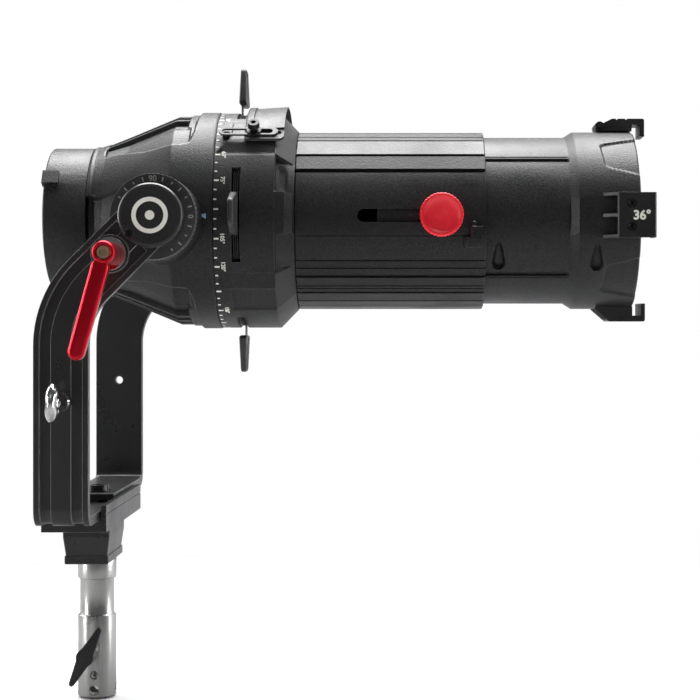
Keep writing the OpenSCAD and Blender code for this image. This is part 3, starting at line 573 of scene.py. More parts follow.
def build_nose():
    th = ring_angles(0.8, sym([33.0, 12.3, -10.6, -31.4, 43.7, -40.7, 56.5, -56.5]), 0.3)
    xs = lines(79.5, 93, 0.8, (80.2, 87.0), 0.2)
    X, TH = np.meshgrid(xs, th, indexing="ij")
    FB = 90 - np.abs((TH + 180) % 360 - 180)
    cone = np.interp(X, [79.5, 80.2, 93], [79.9, 79.5, 66.3])
    R = cone.copy()
    # raised block on the side line
    block = within(FB, -10.6, 12.3, 0.4)
    high = np.interp(X, [79.5, 86.6, 87.4, 92.6, 93], [79.9, 79.9, 79.2, 74.6, 72.0])
    R = R * (1 - block) + block * high
    # sunk faces above and below it
    up = within(FB, 12.3, 33.0, 0.4)
    dn = within(FB, -31.4, -10.6, 0.4)
    low = np.interp(X, [79.5, 80.3, 93], [79.6, 73.0, 67.0])
    dent = np.exp(-(((X - 84.5) / 3.2) ** 4) - (((FB - 20.5) / 7.5) ** 4)) * 1.6
    R = R * (1 - up) + up * (low - dent)
    R = R * (1 - dn) + dn * np.interp(X, [79.5, 80.3, 93], [79.6, 75.5, 67.0])
    # planar facets toward the corners
    for lo, hi, c in ((33.0, 56.5, 45.0), (-56.5, -31.4, -44.0)):
        g = within(FB, lo, hi, 0.4)
        d = np.cos(np.radians((hi - lo) / 2))
        flatr = cone * (0.985) / np.cos(np.radians(FB - c)) * d * 1.02
        R = R * (1 - g) + g * np.minimum(flatr, cone + 0.2)
    R = np.clip(R, 64.5, 80)
    shell("drum_nose_casting", xs, th, R, np.full(R.shape, 62.6), None, "drum", "housing_black", None, ("drum_nose",))


# ------------------------------------------------------------------ fluted barrel
def build_barrel():
    br = 66.0
    groove = {29.7: (3.4, 2.0), 42.6: (2.4, 1.7), 59.0: (1.3, 1.2), -28.6: (1.3, 0.9), -34.2: (0.9, 0.8), -40.7: (2.6, 1.7),
              -49.4: (0.9, 0.8), -51.6: (0.9, 0.8), -55.6: (1.8, 1.4), -66.0: (1.2, 1.0), 66.5: (1.2, 1.0), 76.0: (1.2, 1.0),
              -76.0: (1.2, 1.0), -12.6: (0.5, 0.35)}
    exact = []
    for a, (w, d) in groove.items():
        h = math.degrees(w / 2 / br)
        exact += [a - h, a + h]
    slot_h = math.degrees(math.asin(4.8 / br))
    base = ring_angles(1.0, sym(exact), 0.16)
    fine = np.concatenate([np.arange(90 - 5, 90 + 5.01, 0.4), np.arange(270 - 5, 270 + 5.01, 0.4)])
    base = np.array([b for b in base if abs(b - 90) > 5.2 and abs(b - 270) > 5.2])
    th = np.array(sorted(set(np.round(np.concatenate([base, fine[(fine < 95.1)], fine[(fine > 95.1)]]), 4))))
    xs = np.array(sorted(set(np.round(np.concatenate([
        [93, 93.4, 94.0], np.arange(97, 135, 6.0), np.arange(136.5, 145, 0.35), np.arange(147, 197, 4.0),
        np.arange(199, 207, 0.35), np.arange(209, 228, 4.0), [228.6, 229.3, 229.8, 230]]), 3))))
    X, TH = np.meshgrid(xs, th, indexing="ij")
    FB = 90 - np.abs((TH + 180) % 360 - 180)
    R = np.full(X.shape, br)
    # flats between the grooves above and below the side panels
    edges = sorted([29.7, 42.6, 59.0, 76.0, 90.0])
    for lo, hi in zip(edges[:-1], edges[1:]):
        c, h = (lo + hi) / 2, (hi - lo) / 2
        g = within(FB, lo, hi, 0.1)
        R = R * (1 - g) + g * br * math.cos(math.radians(h)) / np.cos(np.radians(FB - c)) * 1.0
    edges = sorted([-40.7, -55.6, -66.0, -76.0, -90.0])
    for lo, hi in zip(edges[:-1], edges[1:]):
        c, h = (lo + hi) / 2, (hi - lo) / 2
        g = within(FB, lo, hi, 0.1)
        R = R * (1 - g) + g * br * math.cos(math.radians(h)) / np.cos(np.radians(FB - c))
    R = np.minimum(R, br)
    for a, (w, d) in groove.items():
        h = math.degrees(w / 2 / br)
        R = R - d * within(FB, a - h, a + h, 0.16)
    R = R - 0.7 * (1 - ss(X, 93, 94)) - 0.8 * ss(X, 229.2, 230)
    # shallow finger recess beside the catch
    R = R - 0.5 * poly_mask(X, FB, [(217, 1.5), (221, 1.5), (221, 19), (217, 19)], 0.5)
    Ri = np.where(X < 96, 59.6, 62.65)
    xc = (xs[:-1] + xs[1:]) / 2
    tc = (th + np.roll(th, -1)) / 2
    tc[-1] = ((th[-1] + th[0] + 360) / 2) % 360
    XC, TC = np.meshgrid(xc, tc, indexing="ij")
    z = br * np.sin(np.radians(TC - 90))
    near = np.abs(TC - 90) < 20
    x0, x1 = 138 + 4.8, 138 + 67 - 4.8
    dx = np.maximum(np.maximum(x0 - XC, XC - x1), 0)
    void = near & (np.hypot(dx, z) < 4.8)
    ob = shell("barrel_casting", xs, th, R, Ri, void, "drum", "housing_black", None, ("barrel",))
    # smooth the stair edges of the focus slot ends onto the true outline
    me = ob.data
    for v in me.vertices:
        x, y, zz = v.co.x * 1000 - P[0], v.co.y * 1000, v.co.z * 1000 - P[2]
        if y < -55 and abs(zz) < 6.5:
            cx = min(max(x, x0), x1)
            d = math.hypot(x - cx, zz)
            if d > 1e-6 and abs(d - 4.8) < 0.34:
                k = 4.8 / d
                v.co.x = (P[0] + cx + (x - cx) * k) / 1000
                v.co.z = (P[2] + zz * k) / 1000
    # fixed block under the tube catch
    v, f = loft_box((P[0] + 214.0, -70.4, P[2] - 23.0), (P[0] + 227.5, -62.4, P[2] - 15.7), 0.7)
    link("catch_block", v, f, "housing_black", "drum")


def loft_box(lo, hi, r):
    """Box with chamfered edges all round, as one closed mesh."""
    c = [(a + b) / 2 for a, b in zip(lo, hi)]
    h = [(b - a) / 2 for a, b in zip(lo, hi)]
    bm = bmesh.new()
    bmesh.ops.create_cube(bm, size=2.0)
    for v in bm.verts:
        v.co = Vector((c[0] + v.co.x * h[0], c[1] + v.co.y * h[1], c[2] + v.co.z * h[2]))
    corner = [e for e in bm.edges if all(v.co.x < c[0] and v.co.y < c[1] for v in e.verts)]
    bmesh.ops.bevel(bm, geom=corner, offset=min(h[0], h[1]) * 0.9, segments=8, profile=0.5, affect="EDGES")
    sharp = [e for e in bm.edges if e.is_manifold and e.calc_face_angle(0) > 0.9]
    bmesh.ops.bevel(bm, geom=sharp, offset=r * 0.6, segments=2, profile=0.5, affect="EDGES")
    bm.verts.ensure_lookup_table()
    out = ([tuple(v.co) for v in bm.verts], [[v.index for v in f.verts] for f in bm.faces])
    bm.free()
    return out


def box_mesh(lo, hi):
    x0, y0, z0 = lo
    x1, y1, z1 = hi
    v = [(x0, y0, z0), (x1, y0, z0), (x1, y1, z0), (x0, y1, z0), (x0, y0, z1), (x1, y0, z1), (x1, y1, z1), (x0, y1, z1)]
    f = [[0, 3, 2, 1], [4, 5, 6, 7], [0, 1, 5, 4], [1, 2, 6, 5], [2, 3, 7, 6], [3, 0, 4, 7]]
    return v, f


# ------------------------------------------------------------------ focusing tube and front ring
def build_lens_tube():
    feats = [44.4, 48.2, 39.6, 43.0]
    th = ring_angles(0.8, sym(feats + [-f for f in feats] + [15.2, -15.2]), 0.2)
    xs = np.array(sorted(set(np.round(np.concatenate([
        [152, 152.6, 153.2], np.arange(156, 230, 6.0), np.arange(230, 246, 0.6), np.arange(247, 287, 4),
        np.arange(288, 299, 0.5), np.arange(299, 339, 0.6), [339.2, 339.6, 340.0, 340.3, 340.5]]), 3))))
    X, TH = np.meshgrid(xs, th, indexing="ij")
    FB = 90 - np.abs((TH + 180) % 360 - 180)
    R = np.interp(X, [152, 153, 290.2, 290.9, 296.0, 296.8, 339.4, 340.5], [61.2, 62, 62, 62.5, 65.7, 66, 66, 65.2])
    tube = 1 - ss(X, 289.0, 291.0)
    for s_ in (1, -1):
        rail = within(s_ * FB, 44.4, 48.2, 0.2)
        gr = within(s_ * FB, 39.6, 43.0, 0.2)
        R = R + tube * ss(X, 153, 155) * (0.5 * rail - 1.7 * gr)
    # flat side panel across the chamfer and the ring
    pan = within(FB, -15.2, 15.2, 0.35) * ss(X, 289.6, 290.4)
    R = R * (1 - pan) + pan * np.minimum(R, np.interp(X, [289.6, 290.4, 296.6, 297.4, 340], [61.6, 61.0, 65.2, 64.9, 64.9]) / np.cos(np.radians(FB) * 0.9))
    # mould seam on the side line
    R = R - 0.45 * within(FB, -0.3, 0.3, 0.12)
    # sunk trapezoids that open to the front edge
    s = FB * math.radians(1) * 66.0
    for sg in (1, -1):
        tz = poly_mask(X, sg * s, [(313.8, 60), (316.2, 62.6), (346, 71.5), (346, 29.5), (319, 37.4), (316.0, 40.0)], 0.8)
        R = R - 1.5 * tz
    # scooped pockets, pointed above and round below
    zz = R * np.sin(np.radians(FB))
    for xc_, zc in ((239.4, -33.2), (309.7, -34.4)):
        dz = zz - zc
        w = np.where(dz < 0, 4.7 * np.sqrt(np.maximum(1 - (dz / 4.7) ** 2, 0)), 4.7 * np.maximum(1 - np.maximum(dz, 0) / 14.4, 0) ** 0.5)
        rho = np.abs(X - xc_) / np.maximum(w, 0.05)
        deep = np.sqrt(np.maximum(0, 1 - rho ** 2)) * (w > 0.1)
        R = R - 4.4 * deep * np.clip(w / 3.0, 0, 1)
    Ri = np.interp(X, [152, 300, 329, 340.5], [57.5, 57.5, 59.0, 61.5])
    shell("lens_tube_casting", xs, th, R, np.minimum(Ri, R - 0.8), None, "focus_tube", "housing_black", None,
          ("lens_shell_upper", "lens_shell_lower"))


# ------------------------------------------------------------------ knob, cap marks, dial marks
def build_knob():
    kx, kz = P[0] + 198.0, P[2]
    r = 15.7

    def mod(a, rr, y):
        if rr > r - 1.2:
            return rr - 0.42 * (0.5 - 0.5 * math.cos(36 * a)) * min(1, max(0, (rr - (r - 1.2)) / 0.8))
        return rr

    prof = [(3.2, -58.0), (3.2, -66.2), (8.0, -66.2), (8.0, -69.4), (r - 0.9, -69.8), (r - 0.2, -70.3), (r, -71.2), (r, -77.6),
            (r - 0.15, -78.3), (r - 0.6, -78.9), (r - 1.4, -79.1), (r - 2.4, -79.0), (r - 3.0, -78.5), (r - 3.8, -77.7),
            (r - 6.0, -76.9), (r - 9.0, -76.45), (r - 12.0, -76.3), (0.02, -76.25), (0.02, -58.0)]
    v, f = lathe_y(prof, 288, mod, (kx, kz))
    link("focus_knob_moulding", v, f, "red_knob", "focus_knob", ("focus_knob",), sharp=40)


def on_plane(pts, faces, x, z, y, rot=0.0, h=0.14, side=-1):
    """A 2D shape laid on a side face at y, turned by rot degrees clockwise as seen from outside on the near side."""
    c, s_ = math.cos(math.radians(rot)), math.sin(math.radians(rot))
    v = []
    for yy in (y + side * h, y - side * 0.2):
        for u, w in pts:
            uu, ww = u * c + w * s_, -u * s_ + w * c
            v.append((x - side * uu, yy, z + ww))
    n = len(pts)
    f = [list(q) for q in faces] + [[i + n for i in q[::-1]] for q in faces]
    e = {}
    for q in faces:
        for i in range(len(q)):
            e[(q[i], q[(i + 1) % len(q)])] = 1
    for (i, j) in list(e):
        if (j, i) not in e:
            f.append([j, i, i + n, j + n])
    return v, f


def build_side_marks():
    for side, nm in ((-1, "near"), (1, "far")):
        dim = Marks()
        y = side * ARM_IN
        for k in range(-4, 11):
            a = 15 * k
            if a % 90 == 0 or not (-62 < a < 168):
                continue
            rr0, rr1 = (24.6, 27.6) if k % 2 else (25.3, 27.0)
            L = (rr1 - rr0) / 2
            ca, sa = math.cos(math.radians(a)), math.sin(math.radians(a))
            pts = [(-0.42, -L), (0.42, -L), (0.42, L), (-0.42, L)]
            dim.add(*on_plane(pts, [[0, 1, 2, 3]], T[0] - side * -1 * 26.1 * ca if side > 0 else T[0] + 26.1 * ca, T[2] + 26.1 * sa, y,
                              (90 - a) if side < 0 else (90 - a), side=side) if side < 0 else
                    on_plane(pts, [[0, 1, 2, 3]], T[0] - 26.1 * ca, T[2] + 26.1 * sa, y, 90 - a, side=side))
        co, fs = glyphs("90", 3.9, 0.015)
        dim.add(*on_plane([tuple(q) for q in co], fs, T[0], T[2] + 26.0, y, 0, side=side))
        co, fs = glyphs("0", 3.4, 0.015)
        dim.add(*on_plane([tuple(q) for q in co], fs, T[0] - side * 26.0, T[2], y, 90, side=side))
        dim.build(f"dial_marks_{nm}", "marking_dim", "yoke", "satin_black")
        # plain ring and dot on the hub cap
        cap = Marks()
        n = 64
        for r0, r1 in ((9.3, 12.3), (0.0, 3.2)):
            if r0 > 0:
                pts, fs = [], []
                for k in range(n):
                    a = 2 * math.pi * k / n
                    pts += [(r0 * math.cos(a), r0 * math.sin(a)), (r1 * math.cos(a), r1 * math.sin(a))]
                fs = [[2 * k, 2 * k + 1, 2 * ((k + 1) % n) + 1, 2 * ((k + 1) % n)] for k in range(n)]
            else:
                pts = [(r1 * math.cos(2 * math.pi * k / 32), r1 * math.sin(2 * math.pi * k / 32)) for k in range(32)]
                fs = [list(range(32))]
            cap.add(*on_plane(pts, fs, T[0], T[2], side * (ARM_OUT + 8.2), 0, 0.12, side))
        cap.build(f"cap_mark_{nm}", "marking", "yoke", "satin_black")


def build_plate_numeral():
    mk = Marks()
    co, fs = glyphs("36°", 6.3, 0.035)
    px = P[0] + 339.6
    mk.add(*on_plane([tuple(q) for q in co], fs, px, P[2], -75.4, 0, 0.12, -1))
    mk.build("field_angle_numeral", "marking", "focus_tube", "black_plastic")


def stadium(p0, r0, p1, r1, n=24):
    """Convex outline round two circles, as a function of an inset."""
    dx, dz = p1[0] - p0[0], p1[1] - p0[1]
    d = math.hypot(dx, dz)
    base = math.atan2(dz, dx)
    off = math.acos((r0 - r1) / d)

    def at(inset):
        pts = []
        for k in range(n + 1):
            a = base + off + (2 * math.pi - 2 * off) * k / n
            pts.append((p0[0] + (r0 - inset) * math.cos(a), p0[1] + (r0 - inset) * math.sin(a)))
        for k in range(n + 1):
            a = base - off + 2 * off * k / n
            pts.append((p1[0] + (r1 - inset) * math.cos(a), p1[1] + (r1 - inset) * math.sin(a)))
        return pts
    return at


def loft_y(at, rings):
    """Closed solid from outlines at(inset) placed at each y."""
    v, f = [], []
    n = None
    for y, inset in rings:
        pts = at(inset)
        n = len(pts)
        v += [(x, y, z) for x, z in pts]
    for k in range(len(rings) - 1):
        for i in range(n):
            j = (i + 1) % n
            f.append([k * n + i, k * n + j, (k + 1) * n + j, (k + 1) * n + i])
    f.append(list(range(n))[::-1])
    f.append([(len(rings) - 1) * n + i for i in range(n)])
    return v, f


def build_lever():
    a = math.radians(15.5)
    tip = (C[0] - (74 - 5.4) * math.sin(a), C[2] - (74 - 5.4) * math.cos(a))
    top = (C[0] - 10.6 * math.sin(a), C[2] - 10.6 * math.cos(a))
    mk = Marks()
    v, f = loft_y(stadium(top, 6.0, tip, 5.7), [(-143.6, 1.0), (-144.4, 0.25), (-145.2, 0.0), (-149.6, 0.0), (-150.6, 0.35), (-151.4, 1.1),
                                                (-151.9, 2.1), (-152.0, 2.6)])
    mk.add(v, f)
    prof = [(5.1, -151.0), (5.1, -152.2), (5.5, -152.7), (6.2, -152.8), (7.0, -152.4), (7.6, -151.4), (7.8, -150.0), (7.8, -143.0),
            (7.8, -137.0), (7.9, -133.5), (8.0, -131.5), (8.0, -128.9), (7.7, -128.4), (5.1, -128.4)]
    v, f = lathe_y(prof, 72, None, (C[0], C[2]))
    mk.add(v, f)
    link("clamp_lever_casting", mk.v, mk.f, "red_anodised", "clamp_lever", ("clamp_lever",), sharp=50)

    def hexed(ang, r, y):
        if r < 3.0:
            q = (ang + math.pi / 6) % (math.pi / 3) - math.pi / 6
            return r / math.cos(q)
        return r
    prof = [(2.25, -149.2), (2.25, -151.3), (2.5, -151.7), (4.2, -151.8), (4.6, -151.4), (4.6, -148.2), (0.02, -148.2), (0.02, -149.2)]
    v, f = lathe_y(prof, 72, hexed, (C[0], C[2]))
    link("lever_cap_screw", v, f, "brass", "clamp_spindle", ("lever_screw",), sharp=35)


def build_shutters():
    blade_x = {"shutter_top": (50.2, 0), "shutter_near": (51.6, 90), "shutter_bottom": (53.0, 180), "shutter_far": (54.4, -90)}
    for nm, (bx, ang) in blade_x.items():
        t = math.radians(ang)

        def place(v):
            # drawn pointing up, then turned: 0 top, 90 near side
            out = []
            for x, y, z in v:
                out.append((P[0] + x, P[1] + y * math.cos(t) - z * math.sin(t), P[2] + y * math.sin(t) + z * math.cos(t)))
            return out
        plate = [(-29.4, 8), (29.4, 8), (29.4, 62), (26, 66), (5, 66), (5, 92), (-5, 92), (-5, 66), (-26, 66), (-29.4, 62)]
        n = len(plate)
        v = [(bx, y, z) for y, z in plate] + [(bx + 0.8, y, z) for y, z in plate]
        f = [list(range(n)), list(range(n, 2 * n))[::-1]] + [[i, (i + 1) % n, (i + 1) % n + n, i + n] for i in range(n)]
        link(nm + "_blade", place(v), f, "blade_steel", nm, (nm,), smooth=False)
        # grip: rounded trapezoid with a raised rim and a sunk middle on both faces
        def outline(inset):
            cs = [((-12, 88.6), 3.0), ((12, 88.6), 3.0), ((6, 109.5), 3.5), ((-6, 109.5), 3.5)]
            pts = []
            m = len(cs)
            for i in range(m):
                (cx, cz), r = cs[i]
                (nx, nz), _ = cs[(i + 1) % m]
                (px, pz), _ = cs[i - 1]
                a0 = math.atan2(cz - pz, cx - px) - math.pi / 2
                a1 = math.atan2(nz - cz, nx - cx) - math.pi / 2
                while a1 < a0:
                    a1 += 2 * math.pi
                for k in range(9):
                    a = a0 + (a1 - a0) * k / 8
                    pts.append((cx + (r - inset) * math.cos(a), cz + (r - inset) * math.sin(a)))
            return pts
        rows = [(-1.5, 3.4), (-1.6, 2.7), (-2.5, 1.9), (-2.6, 1.2), (-2.2, 0.45), (-1.4, 0.0), (1.4, 0.0), (2.2, 0.45), (2.6, 1.2),
                (2.5, 1.9), (1.6, 2.7), (1.5, 3.4)]
        v, f = [], []
        for x, inset in rows:
            pts = outline(min(inset, 2.8))
            if inset > 2.8:
                cx = sum(p[0] for p in pts) / len(pts)
                cz = sum(p[1] for p in pts) / len(pts)
                pts = [(cx + (p[0] - cx) * 0.93, cz + (p[1] - cz) * 0.93) for p in pts]
            k = 1.0 + 0.1 * 0
            v += [(52 + x * (1.08 - 0.30 * (z - 85.6) / 27.5), y, z) for y, z in pts]
            n = len(pts)
        for r_ in range(len(rows) - 1):
            for i in range(n):
                j = (i + 1) % n
                f.append([r_ * n + i, r_ * n + j, (r_ + 1) * n + j, (r_ + 1) * n + i])
        f.append(list(range(n))[::-1])
        f.append([(len(rows) - 1) * n + i for i in range(n)])
        link(nm + "_grip", place(v), f, "grip_rubber", nm, (), sharp=60)


def remeshed(cad, name, body, mat, slot, voxel=0.45, rounds=3, factor=0.5, sub=False):
    """A smooth, organic copy of a cast or moulded CAD piece."""
    return skin(nodes[cad].data.copy(), name, body, mat, slot, cad, voxel, rounds, factor)


def build_wing():
    """Cast wing screw: a turned hub and one thick bean-shaped wing, blended into one skin."""
    cx, cz = -3.0, 225.0
    bm = bmesh.new()
    v, f = lathe_y([(0.02, -124.6), (7.7, -124.6), (8.0, -126.0), (7.5, -128.5), (5.9, -131.5), (5.0, -135.0), (4.6, -140.0), (4.0, -146.0),
                    (0.02, -146.0)], 48, None, (cx, cz))
    vs = [bm.verts.new(q) for q in v]
    for q in f:
        bm.faces.new([vs[k] for k in q])
    lobes = bmesh.ops.create_uvsphere(bm, u_segments=48, v_segments=32, radius=1.0)["verts"]
    for q in lobes:
        x, y, z = q.co
        zz = z * 13.9
        pinch = 1.0 - 0.22 * math.exp(-(zz / 5.0) ** 2)
        q.co = Vector((cx - 1.6 + x * 4.9 * pinch + 0.05 * zz, -147.4 + y * 7.0 + 0.016 * zz * zz, cz + zz))
    for sgn in (1, -1):
        web = bmesh.ops.create_uvsphere(bm, u_segments=24, v_segments=16, radius=1.0)["verts"]
        for q in web:
            x, y, z = q.co
            q.co = Vector((cx - 0.4 + x * 3.0, -138.0 + y * 6.0, cz + sgn * 4.6 + z * 5.0))
    for q in bm.verts:
        q.co /= 1000
    me = bpy.data.meshes.new("wing_raw")
    bm.to_mesh(me)
    bm.free()
    return skin(me, "wing_screw_casting", "wing_screw", "bright_steel", "bright_steel", "wing_screw", 0.45, 8, 0.6)


def skin(me, name, body, mat, slot, cad, voxel, rounds, factor):
    """Blend overlapping solids into one smooth skin."""
    ob = bpy.data.objects.new(name, me)
    bpy.context.scene.collection.objects.link(ob)
    rm = ob.modifiers.new("remesh", "REMESH")
    rm.mode = "VOXEL"
    rm.voxel_size = voxel / 1000
    sm = ob.modifiers.new("smooth", "SMOOTH")
    sm.factor = factor
    sm.iterations = rounds
    bpy.context.view_layer.update()
    dg = bpy.context.evaluated_depsgraph_get()
    dg.update()
    out = bpy.data.meshes.new_from_object(ob.evaluated_get(dg))
    ob.modifiers.clear()
    ob.data = out
    out.materials.clear()
    out.materials.append(M[mat])
    out.shade_smooth()
    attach(ob, body)
    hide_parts(cad)
    return ob


def build_cover():
    """Sliding cover over the gobo slot: a rolled plate that flares at the front, with a foot on each side."""
    xs = np.array([57.3, 57.7, 58.4, 60.0, 62.6, 63.1, 63.6, 64.2, 66, 70, 75, 80, 84.6, 85.2, 85.5])
    ro = np.interp(xs, [57.3, 57.7, 58.6, 62.6, 63.1, 63.7, 64.2, 85.2, 85.5], [83.0, 83.8, 84.3, 84.3, 83.2, 83.2, 83.4, 84.8, 84.7])
    th = np.arange(-41.0, 41.01, 1.0)
    v, f = [], []
    n, m = len(th), len(xs)
    for k, r_ in enumerate((ro, np.where(xs < 59.5, 80.5, ro - 1.7))):
        for i in range(m):
            for j in range(n):
                t = math.radians(th[j])
                v.append((P[0] + xs[i], P[1] - r_[i] * math.sin(t), P[2] + r_[i] * math.cos(t)))
    o = m * n
    for i in range(m - 1):
        for j in range(n - 1):
            a, b, c, d = i * n + j, (i + 1) * n + j, (i + 1) * n + j + 1, i * n + j + 1
            f += [[a, b, c, d], [d + o, c + o, b + o, a + o]]
    for j in range(n - 1):
        f += [[j, j + 1, j + 1 + o, j + o], [(m - 1) * n + j + 1, (m - 1) * n + j, (m - 1) * n + j + o, (m - 1) * n + j + 1 + o]]
    for i in range(m - 1):
        f += [[i * n, (i + 1) * n, (i + 1) * n + o, i * n + o],
              [(i + 1) * n + n - 1, i * n + n - 1, i * n + n - 1 + o, (i + 1) * n + n - 1 + o]]
    mk = Marks()
    mk.add(v, f)
    # side skirts down to the drum and the slotted feet
    for sg in (1, -1):
        t = math.radians(44 * sg)
        def turn(vs):
            return [(P[0] + x, P[1] + y * math.cos(t) - z * math.sin(t), P[2] + y * math.sin(t) + z * math.cos(t)) for x, y, z in vs]
        # foot plate with a long slot, rounded front corners
        outer = [(57.3, -6.8)] + [(81.5 + 4 * math.sin(a), -2.8 - 4 * math.cos(a)) for a in np.linspace(0, math.pi / 2, 7)] + \
            [(81.5 + 4 * math.cos(a), 2.8 + 4 * math.sin(a)) for a in np.linspace(0, math.pi / 2, 7)] + [(57.3, 6.8)]
        inner = [(64 + 0 * a + 2.2 * math.cos(a), 2.2 * math.sin(a)) for a in np.linspace(math.pi / 2, 3 * math.pi / 2, 9)] + \
            [(81.6 + 2.2 * math.cos(a), 2.2 * math.sin(a)) for a in np.linspace(-math.pi / 2, math.pi / 2, 9)]
        pv, pf = ring_plate(outer, inner, 80.9, 83.2)
        mk.add(turn(pv), pf)
    link("slot_cover_plate", mk.v, mk.f, "housing_black", "slot_cover", ("slot_cover",), sharp=35)


def ring_plate(outer, inner, z0, z1):
    """Plate with one hole, bridged by angle order; outlines are (x, y) loops."""
    bm = bmesh.new()
    loops = []
    for loop in (outer, inner):
        vs = [bm.verts.new((x, y, z0)) for x, y in loop]
        es = [bm.edges.new((vs[i], vs[(i + 1) % len(vs)])) for i in range(len(vs))]
        loops += es
    bmesh.ops.triangle_fill(bm, use_beauty=True, edges=loops)
    faces = list(bm.faces)
    r = bmesh.ops.extrude_face_region(bm, geom=faces)
    up = [g for g in r["geom"] if isinstance(g, bmesh.types.BMVert)]
    bmesh.ops.translate(bm, verts=up, vec=(0, 0, z1 - z0))
    bmesh.ops.recalc_face_normals(bm, faces=bm.faces)
    bm.verts.index_update()
    out = ([tuple(v.co) for v in bm.verts], [[v.index for v in f.verts] for f in bm.faces])
    bm.free()
    return out


# ------------------------------------------------------------------ run
build_housing()
build_drum()
build_nose()
build_barrel()
build_lens_tube()
build_knob()
build_lever()
build_shutters()
build_cover()
build_wing()
remeshed("socket_clamp_handle", "socket_clamp_casting", "socket_clamp", "black_plastic", "black_plastic", 0.4, 4)
remeshed("tube_catch", "tube_catch_moulding", "tube_catch", "black_plastic", "black_plastic", 0.25, 3)
build_side_marks()
build_plate_numeral()

# carried-over CAD nodes: their material, welded vertices and small rounded edges
slots = {s["node"]: s["material_slot"] for s in record["subparts"]}
LOOK = {"near_arm": "arm_black", "far_arm": "arm_black", "near_dial": "dial_black", "far_dial": "dial_black", "clamp_washer": "bright_steel"}
BEVEL = {"near_arm": 0.8, "far_arm": 0.9, "spigot_block": 1.0, "cross_bracket": 0.3, "clamp_lever": 1.3, "near_hub_cap": 0.25,
         "far_hub_cap": 0.25, "frame_latch": 0.7, "accessory_holders": 0.5, "spigot_pin": 0.3, "bayonet_collar": 0.5,
         "slot_cover": 0.35, "cover_link": 0.35, "wing_screw": 0.4, "socket_clamp_handle": 0.5}
for name, ob in nodes.items():
    if ob.hide_render:
        continue
    ob.data.materials.clear()
    ob.data.materials.append(M[LOOK.get(name, slots[name])])
    if name == "lever_spring":
        continue
    wl = ob.modifiers.new("weld", "WELD")
    wl.merge_threshold = 0.00001
    bv = ob.modifiers.new("bevel", "BEVEL")
    bv.width = BEVEL.get(name, 0.3) / 1000
    bv.segments = 3 if name.endswith("_arm") else 2
    bv.limit_method = "ANGLE"
    bv.angle_limit = math.radians(32)
    bv.use_clamp_overlap = True
    bv.harden_normals = False

# ------------------------------------------------------------------ stage, light, camera
def stage_floor():
    v, f = [], []
    n = 24
    prof = [(-2600, 0.0)]
    y = -3.0
    pts = [(-3.0, -0.0)]
    outline = [(-3.2, 0.0), (1.6, 0.0)]
    for k in range(1, n + 1):
        a = math.pi / 2 * k / n
        outline.append((1.6 + 0.9 * math.sin(a), 0.9 - 0.9 * math.cos(a)))
    outline.append((2.5, 4.0))
    zf = cad_bounds[0][2] - 0.001
    for x in (-4.0, 4.5):
        for (yy, zz) in outline:
            v.append((x, yy, zz + zf))
    m = len(outline)
    for i in range(m - 1):
        f.append((i, i + 1, m + i + 1, m + i))
    me = bpy.data.meshes.new("studio_floor")
    me.from_pydata(v, [], f)
    ob = bpy.data.objects.new("studio_floor", me)
    bpy.context.scene.collection.objects.link(ob)
    mt, nt, b = new_mat("studio_paper")
    b.inputs["Roughness"].default_value = 0.9
    grain = noise(nt, coords(nt), 220, 4)
    lp = node(nt, "ShaderNodeLightPath")
    hide = mix(nt, lp.outputs["Is Glossy Ray"], (0.86, 0.86, 0.86), (0.20, 0.20, 0.205))
    paper = mix(nt, remap(nt, grain, 0.3, 0.7, 0.0, 0.06), hide, (0.80, 0.80, 0.80))
    nt.links.new(paper, b.inputs["Base Color"])
    # away from the object the camera sees even white paper; light and shadow near it stay as they fall
    geo = node(nt, "ShaderNodeNewGeometry")
    off = node(nt, "ShaderNodeVectorMath", operation="DISTANCE")
    nt.links.new(geo.outputs["Position"], off.inputs[0])
    off.inputs[1].default_value = (0.19, 0.0, 0.0)
    far = node(nt, "ShaderNodeMath", operation="MULTIPLY")
    nt.links.new(remap(nt, off.outputs["Value"], 0.40, 0.80, 0.0, 1.0), far.inputs[0])
    nt.links.new(lp.outputs["Is Camera Ray"], far.inputs[1])
    white = node(nt, "ShaderNodeEmission")
    white.inputs["Color"].default_value = (1, 1, 1, 1)
    white.inputs["Strength"].default_value = 1.0
    blend = node(nt, "ShaderNodeMixShader")
    nt.links.new(far.outputs[0], blend.inputs[0])
    nt.links.new(b.outputs[0], blend.inputs[1])
    nt.links.new(white.outputs[0], blend.inputs[2])
    for out in nt.nodes:
        if out.type == "OUTPUT_MATERIAL":
            nt.links.new(blend.outputs[0], out.inputs[0])
    ob.data.materials.append(mt)
    return ob


floor = stage_floor()


def area(name, loc, target, size, size_y, power, col=(1, 1, 1)):
    li = bpy.data.lights.new(name, "AREA")
    li.shape = "RECTANGLE"
    li.size = size
    li.size_y = size_y
    li.energy = power
    li.color = col
    ob = bpy.data.objects.new(name, li)
    ob.location = loc
    ob.rotation_euler = (Vector(target) - Vector(loc)).to_track_quat("-Z", "Y").to_euler()
    bpy.context.scene.collection.objects.link(ob)
    return ob


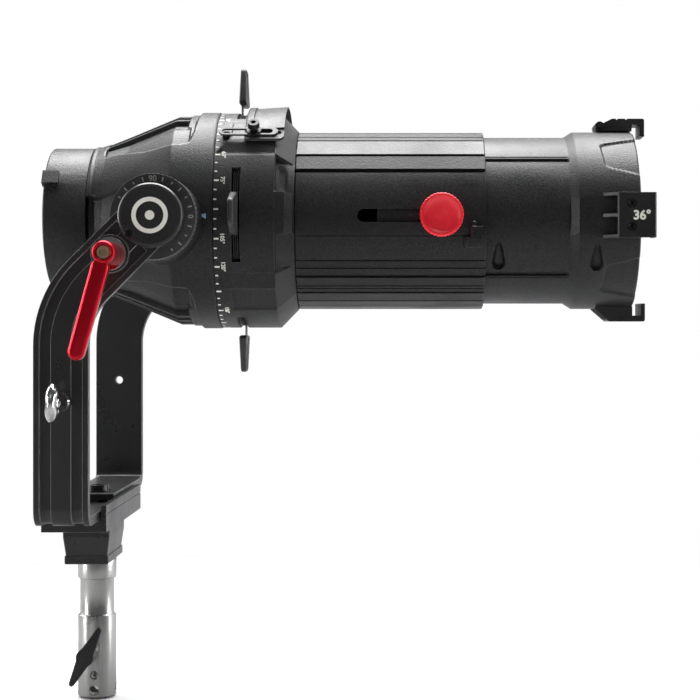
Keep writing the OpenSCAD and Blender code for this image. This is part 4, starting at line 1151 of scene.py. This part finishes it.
area("top_box", (0.25, 0.14, 1.65), (0.22, 0.0, 0.35), 1.7, 0.8, 45)
area("rim_right", (1.7, 0.7, 0.9), (0.3, 0, 0.35), 0.7, 1.3, 12)
area("rim_left", (-1.4, 0.5, 0.8), (0.0, 0, 0.3), 0.5, 1.2, 12)
area("front_low", (0.1, -2.0, 1.5), (0.2, 0, 0.3), 1.4, 0.8, 1.5)
area("strip_left", (-1.35, -0.55, 0.32), (0.0, 0.0, 0.20), 0.11, 0.9, 8.0)
area("strip_right", (1.5, 0.05, 0.28), (0.0, 0.0, 0.15), 0.10, 0.7, 5.0)
area("backdrop", (0.2, 1.2, 2.6), (0.2, 2.5, 0.6), 2.6, 1.2, 150)

world = bpy.data.worlds.new("studio")
bpy.context.scene.world = world
world.use_nodes = True
wn = world.node_tree
wn.nodes.clear()
wo = wn.nodes.new("ShaderNodeOutputWorld")
bg = wn.nodes.new("ShaderNodeBackground")
bg.inputs["Color"].default_value = (0.9, 0.92, 0.95, 1)
bg.inputs["Strength"].default_value = 0.085
# the camera sees plain white paper beyond the floor; only the light on the object is dim
seen = wn.nodes.new("ShaderNodeBackground")
seen.inputs["Color"].default_value = (1, 1, 1, 1)
seen.inputs["Strength"].default_value = 1.0
ray = wn.nodes.new("ShaderNodeLightPath")
pick = wn.nodes.new("ShaderNodeMixShader")
wn.links.new(ray.outputs["Is Camera Ray"], pick.inputs[0])
wn.links.new(bg.outputs[0], pick.inputs[1])
wn.links.new(seen.outputs[0], pick.inputs[2])
wn.links.new(pick.outputs[0], wo.inputs[0])

cam = bpy.data.cameras.new("camera")
cam.lens = 88.46
cam.sensor_width = 36.0
cam.shift_x = -0.0714
cam.shift_y = -0.0357
cam.clip_end = 50
co_ = bpy.data.objects.new("camera", cam)
co_.location = (0.227, -1.290, 0.277)
co_.rotation_euler = (math.radians(90), 0, 0)
bpy.context.scene.collection.objects.link(co_)
bpy.context.scene.camera = co_
bpy.context.scene.view_settings.view_transform = "Standard"
